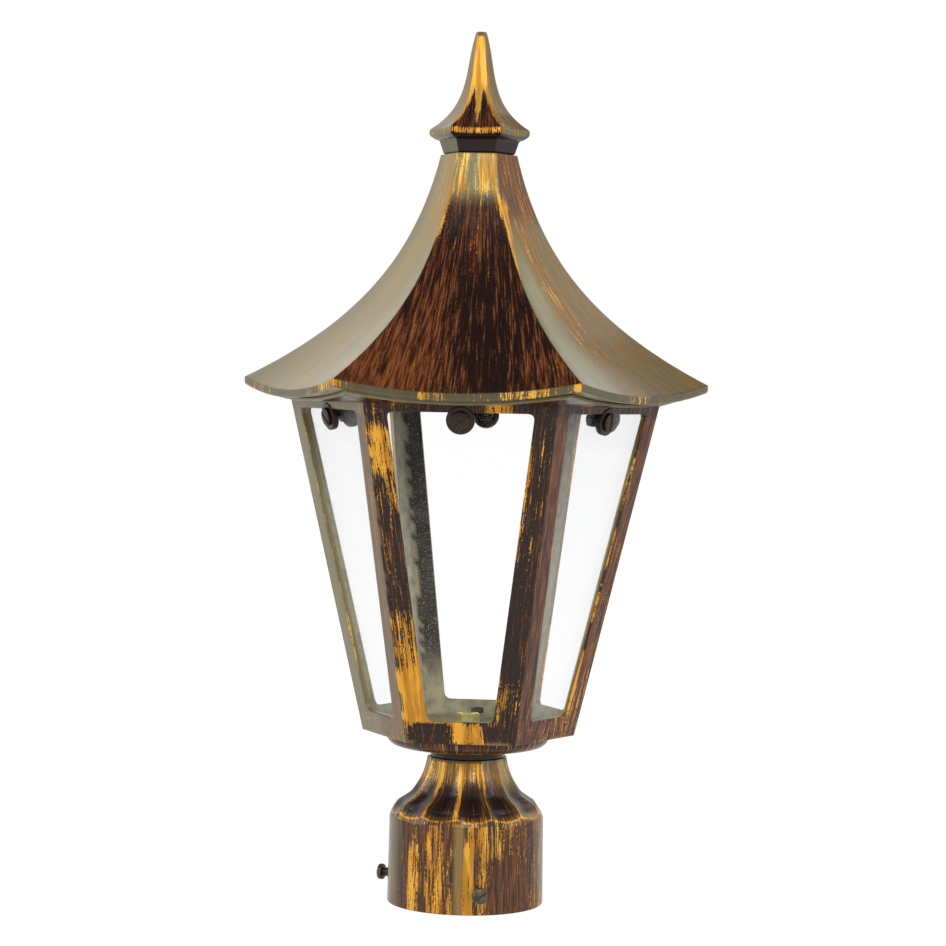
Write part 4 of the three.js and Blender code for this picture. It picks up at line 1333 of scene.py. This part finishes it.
# %% [markdown]
# ## Slotted screws
# A slotted head could be a disc with a box cut out of it, but the cut leaves edges that can't
# be shaded well. Here the head is a stack of strips that run along the slot: each strip is as
# long as the circle is wide there, the strips in the slot lie lower, and the walls between
# lean by a hair. The loop round the strips is then carried down over the rim to the thread,
# whose ridges climb by one pitch for each turn.

# %% Seats for screws and nuts
def level_beside(out):
    """The level direction square to another one, or X where that one is upright."""
    level = np.cross([0.0, 0.0, 1.0], out)
    if np.linalg.norm(level) < 1e-6:
        level = np.array([1.0, 0.0, 0.0])
    return level / np.linalg.norm(level)


def turned_frame(place, out, turn):
    """A place with three directions: the third points out, the first is turned from level."""
    out = np.array(out, float)
    level = level_beside(out)
    climb = np.cross(out, level)
    first = level * math.cos(turn) + climb * math.sin(turn)
    second = climb * math.cos(turn) - level * math.sin(turn)
    return np.array(place, float), np.stack([first, second, out])


def lug_seat(index, out, turn):
    """A seat over a lug's middle; the lugs are counted from the front one."""
    side = (front_side + index) % side_count
    foot, ahead = (
        on_wall(np.array(0.0), np.array(lug_up), distance, side) for distance in (out, out + 1.0)
    )
    return turned_frame(foot, ahead - foot, turn)


# %% Slotted screws
strip_count = 12
slot_strips = 5
slot_lean = 0.03
crown_fall = 0.16
rim_share = 0.12
thread_step = 0.16
thread_pitch = 0.8
thread_depth = 0.28


def slotted_screw(surface, seat, shank, head, height, length, slot_width, slot_depth):
    """A head of strips y = R sin a, x = sqrt(R^2 - y^2) c, over a thread of the shank's radius."""
    place, axes = seat
    half = slot_width / 2
    climb = np.linspace(math.asin(half / head), math.pi / 2, strip_count)
    upper = head * np.sin(climb)
    floor = np.linspace(-half + slot_lean, half - slot_lean, slot_strips)
    y = np.concatenate([-upper[::-1], floor, upper])
    in_slot = np.repeat([0, 1, 0], [strip_count, slot_strips, strip_count])
    reach = np.sqrt(np.maximum(0, head ** 2 - y ** 2))
    share = np.linspace(-1, 1, 17)
    x = reach[:, None] * np.sin(share * math.pi / 2)
    out = np.hypot(x, y[:, None]) / head
    crown = height - crown_fall * height * out ** 2 - crown_fall * height * out ** 10
    z = np.where(in_slot[:, None] > 0, height - slot_depth, crown)
    top = np.stack([x, y[:, None] + 0 * x, z], axis=-1)
    loop = np.concatenate([top[:, -1], top[::-1, 0]])
    angle = np.arctan2(loop[:, 1], loop[:, 0])

    down = np.linspace(0, -length, int(length / thread_step))[:, None]
    turns = down / thread_pitch + angle[None, :] / (2 * math.pi)
    ridge = thread_depth * np.abs(2 * (turns - np.floor(turns)) - 1)
    fade = 1 - stepped(-down, length - thread_pitch, length)
    skirt = np.concatenate([
        loop[None],
        around(head, angle, rim_share * height)[None],
        around(head - rim_share * height, angle, 0.0)[None],
        around((shank - ridge) * (0.75 + 0.25 * fade), angle, down),
        around(0.0, angle, -length)[None],
    ])
    surface.grid(place + top @ axes, 0.0, 0.0)
    surface.grid(place + skirt @ axes, 0.0, 0.0, closed=True)


sizes_of = ("shank", "head", "height", "length", "slot_width", "slot_depth")
set_screw_sizes = dict(zip(sizes_of, (2.5, 4.3, 3.3, 9.7, 0.9, 1.1)))
pane_screw_sizes = dict(zip(sizes_of, (2.5, 4.9, 1.7, 12.9, 1.2, 0.9)))
earth_screw_sizes = dict(zip(sizes_of, (2.0, 3.5, 3.0, 4.0, 0.9, 1.5)))
screw_jobs = []
for index, body in enumerate(("front_set_screw", "right_set_screw", "left_set_screw")):
    turn = math.radians(14 + 120 * index)
    out = (math.sin(turn), -math.cos(turn), 0.0)
    seat = turned_frame([48.2 * out[0], 48.2 * out[1], 12.0], out, math.radians(30))
    screw_jobs.append((f"set_screw_{index + 1}", body, seat, set_screw_sizes))
for index in range(side_count):
    seat = lug_seat(index, 0.9, math.radians(40 + 55 * index))
    screw_jobs.append((f"pane_screw_{index + 1}", "lantern", seat, pane_screw_sizes))
earth_seat = turned_frame([2.5, 30.0, 100.0], (0.0, 0.0, 1.0), 0.0)
screw_jobs.append(("earth_screw", "lantern", earth_seat, earth_screw_sizes))
for node, body, seat, sizes in screw_jobs:
    screw = Surface()
    slotted_screw(screw, seat, **sizes)
    screw.made(f"{node}_cut", "dark_screw_steel", body, [node], smooth=32)

# %% [markdown]
# ## Nuts
# A hexagonal nut is turned from bar, so its corners are cut back by a cone at both ends. As a
# grid that is simple: the outside is as far out as the flat at that angle, and the height
# comes down in proportion to how far a corner stands past the flat.

# %% Nuts
nut_columns = 96
nut_cut = 0.3
bore_cut = 0.4
corner_fall = 0.45


def hexagonal_nut(surface, seat, hole, flat, low, high):
    """Radius at angle a is flat / cos(a - nearest flat's middle); the ends fall at the corners."""
    place, axes = seat
    angle = np.arange(nut_columns) * 2 * math.pi / nut_columns
    across_flat = (angle + side_turn / 2) % side_turn - side_turn / 2
    corner = flat / np.cos(side_turn / 2 - np.abs(across_flat))
    fall = corner_fall * (corner - flat)
    rows = [
        (hole, low + nut_cut), (hole, high - nut_cut), (hole + bore_cut, high),
        (flat - nut_cut, high), (corner, high - fall), (corner, high - nut_cut - fall),
        (corner, low + nut_cut + fall), (corner, low + fall), (flat - nut_cut, low),
        (hole + bore_cut, low), (hole, low + nut_cut),
    ]
    points = np.stack([around(radius, angle, level) for radius, level in rows])
    surface.grid(place + points @ axes, 0.0, 0.0, closed=True)


upright = turned_frame([0, 0, 0], (0.0, 0.0, 1.0), 0.0)
nut_jobs = [
    ("coupling_nut", "brass", "lantern", upright, (rod_hole, 5.5, 96.0, 103.2)),
    ("lower_nut", "brass", "lantern", upright, (rod_hole, 5.5, 72.2, 75.7)),
    ("roof_nut", "plated_steel", "roof_assembly", upright, (rod_hole, 6.5, 393.7, 400.2)),
]
for index in range(side_count):
    seat = lug_seat(index, 0.0, 0.0)
    job = (f"pane_nut_{index + 1}", "dark_screw_steel", "lantern", seat, (2.8, 4.3, -10.8, -6.8))
    nut_jobs.append(job)
for node, slot, body, seat, sizes in nut_jobs:
    nut = Surface()
    hexagonal_nut(nut, seat, *sizes)
    nut.made(f"{node}_turned", slot, body, [node], smooth=28)

# %% [markdown]
# ## Lampholder
# The lampholder hangs in the roof and shows only when the roof is lifted. Its pieces are all
# turned, so each is a profile with eased corners, and the shell gets its rolled thread as a
# gentle wave along the profile.

# %% Lampholder and washer
holder_columns = 72
holder_jobs = [
    ("roof_washer_turned", "roof_washer", "plated_steel", 0.3, sleeve(
        rod_hole, 10.3, 400.5, 402.1,
    )),
    ("holder_cap", "lampholder_cap", "holder_ceramic", 1.4, [
        (17.0, 372.0), (20.0, 372.0), (20.0, 381.6), (17.0, 387.0), (15.0, 391.7), (12.0, 393.4),
        (rod_hole, 393.4), (rod_hole, 384.1), (12.0, 384.1), (17.0, 378.4), (17.0, 372.0),
    ]),
    ("holder_body", "lampholder_body", "holder_ceramic", 1.2, [
        (0.0, 362.3), (14.6, 362.3), (14.6, 336.0), (18.7, 336.0), (20.0, 337.3), (20.0, 371.7),
        (0.0, 371.7),
    ]),
    ("holder_contact", "lampholder_contact", "brass", 0.4, [
        (0.0, 357.4), (1.5, 357.4), (2.5, 358.3), (2.5, 362.0), (0.0, 362.0),
    ]),
]
for name, node, slot, reach, lines in holder_jobs:
    holder_piece = Surface()
    turned_grid(holder_piece, fine(eased(lines, reach), 2.0), holder_columns, 8000.0)
    holder_piece.made(name, slot, "roof_assembly", [node])

shell_foot, shell_top = 338.4, 359.0
shell_pitch = 3.6
shell_height = np.linspace(shell_foot, shell_top, 90)
shell_wave = 0.22 * np.sin(2 * math.pi * (shell_height - shell_foot) / shell_pitch)
shell_profile = np.vstack([
    [(4.0, 361.2), (13.2, 361.2)],
    np.stack([13.68 + shell_wave, shell_height], axis=1)[::-1],
    [(13.6, 337.3), (14.3, 337.3)],
    np.stack([14.08 + shell_wave, shell_height], axis=1),
    [(14.3, 362.0), (4.0, 362.0), (4.0, 361.2)],
])
lamp_shell = Surface()
turned_grid(lamp_shell, shell_profile, holder_columns, 8200.0)
lamp_shell.made("holder_shell", "plated_steel", "roof_assembly", ["lampholder_shell"])

# %% [markdown]
# ## Floor, backdrop and light
# The photograph was taken against plain white. The floor and the world are white to the
# camera and to reflections, and the floor still takes the shadow because part of its colour
# is lit like any other. Three large soft lamps stand in front and at the sides. Dark cards
# above and behind the camera, seen only in reflections, keep the faces that look at the
# camera deep and dark, as black flags do in a studio.

# %% World
world = bpy.data.worlds.new("studio")
bpy.context.scene.world = world
ambient_level = 0.45


def seen_directly(recipe):
    """One for rays from the camera and for mirror and see-through rays."""
    rays = [
        recipe.node("ShaderNodeLightPath", output=name)
        for name in ("Is Camera Ray", "Is Glossy Ray", "Is Transmission Ray")
    ]
    return rays[0].larger(rays[1]).larger(rays[2])


studio = Recipe(world)
sky_strength = seen_directly(studio) * (1 - ambient_level) + ambient_level
backdrop = studio.node(
    "ShaderNodeBackground", {}, {"Color": (1, 1, 1, 1), "Strength": sky_strength},
)
studio.node("ShaderNodeOutputWorld", {}, {"Surface": backdrop})

print("world", world.name, "has", len(studio.tree.nodes), "nodes")


# %% Floor
def sheet(name, width, depth, material):
    """A level rectangle round its own origin."""
    halves = (width / 2, depth / 2, 0)
    corners = np.array([(-1, -1, 0), (1, -1, 0), (1, 1, 0), (-1, 1, 0)]) * halves
    mesh = bpy.data.meshes.new(name)
    mesh.from_pydata(corners.tolist(), [], [(0, 1, 2, 3)])
    mesh.materials.append(material)
    return linked(name, mesh)


floor_glow = 1.22
floor_size = 18.0
floor_recipe = Recipe(bpy.data.materials.new("studio_floor"))
floor_grain = floor_recipe.noise(floor_recipe.object_place(), 2.0, 0.5, scale=3.0)
floor_colour = floor_recipe.mix(floor_grain, (0.80, 0.80, 0.80), (0.84, 0.84, 0.84))
floor_lit = floor_recipe.node("ShaderNodeBsdfDiffuse", {}, {"Color": floor_colour})
floor_white = floor_recipe.node(
    "ShaderNodeEmission", {}, {"Color": (1, 1, 1, 1), "Strength": floor_glow},
)
floor_share = seen_directly(floor_recipe) * 0.75
floor_mix = floor_recipe.node(
    "ShaderNodeMixShader", {}, {0: floor_share, 1: floor_lit, 2: floor_white},
)
floor_recipe.node("ShaderNodeOutputMaterial", {}, {"Surface": floor_mix})
floor = sheet("floor", floor_size, floor_size, floor_recipe.owner)
floor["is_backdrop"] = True


# %% Lamps and cards
def aimed(thing, place, target):
    """Puts an object at a place with its -Z towards the target."""
    back = np.array(place, float) - np.array(target, float)
    back /= np.linalg.norm(back)
    level = level_beside(back)
    placed(thing, level, np.cross(back, level), back, place)


lantern_middle = (0.0, 0.0, 0.24)
lamps = [
    ("front_lamp", (0.45, -2.2, 1.15), (0.9, 0.7), 22.0),
    ("left_lamp", (-2.0, -0.5, 0.9), (1.1, 1.3), 20.0),
    ("right_lamp", (2.0, -0.3, 0.9), (1.1, 1.3), 16.0),
]
for name, place, size, power in lamps:
    lamp_data = bpy.data.lights.new(name, "AREA")
    lamp_data.shape = "RECTANGLE"
    lamp_data.size, lamp_data.size_y = size
    lamp_data.energy = power
    aimed(linked(name, lamp_data), place, lantern_middle)
    print(name, size, "m,", power, "W")

card_recipe = Recipe(bpy.data.materials.new("black_card"))
card_nap = card_recipe.noise(card_recipe.object_place(), 2.0, 0.5, scale=40.0)
card = card_recipe.finish(
    Base_Color=card_recipe.mix(card_nap, (0.010, 0.010, 0.010), (0.016, 0.015, 0.014)),
    Roughness=0.9,
)
cards = [
    ("card_above", (0.0, 0.9, 2.6), (0.0, 0.9, 0.0), (3.4, 5.4)),
    ("card_behind_camera", (0.3, -3.0, 0.6), (0.0, 0.0, 0.6), (2.2, 2.0)),
]
for name, place, target, (width, depth) in cards:
    card_object = sheet(name, width, depth, card)
    aimed(card_object, place, target)
    card_object.visible_camera = False
    card_object.visible_diffuse = False
    card_object.visible_shadow = False
    card_object.visible_transmission = False
    card_object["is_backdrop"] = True

bpy.context.scene.view_settings.view_transform = "Standard"

# %% [markdown]
# ## Sizes
# The dressed lantern must stay inside the imported one, so both boxes are printed.

# %% Print both boxes
dressed_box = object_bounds()
sizes = {
    "cad": [[float(v) for v in corner] for corner in packed_box],
    "visual": [[float(v) for v in corner] for corner in dressed_box],
}
print("sizes", sizes)
print("pieces", len(made_pieces), "faces", sum(len(piece.data.polygons) for piece in made_pieces))
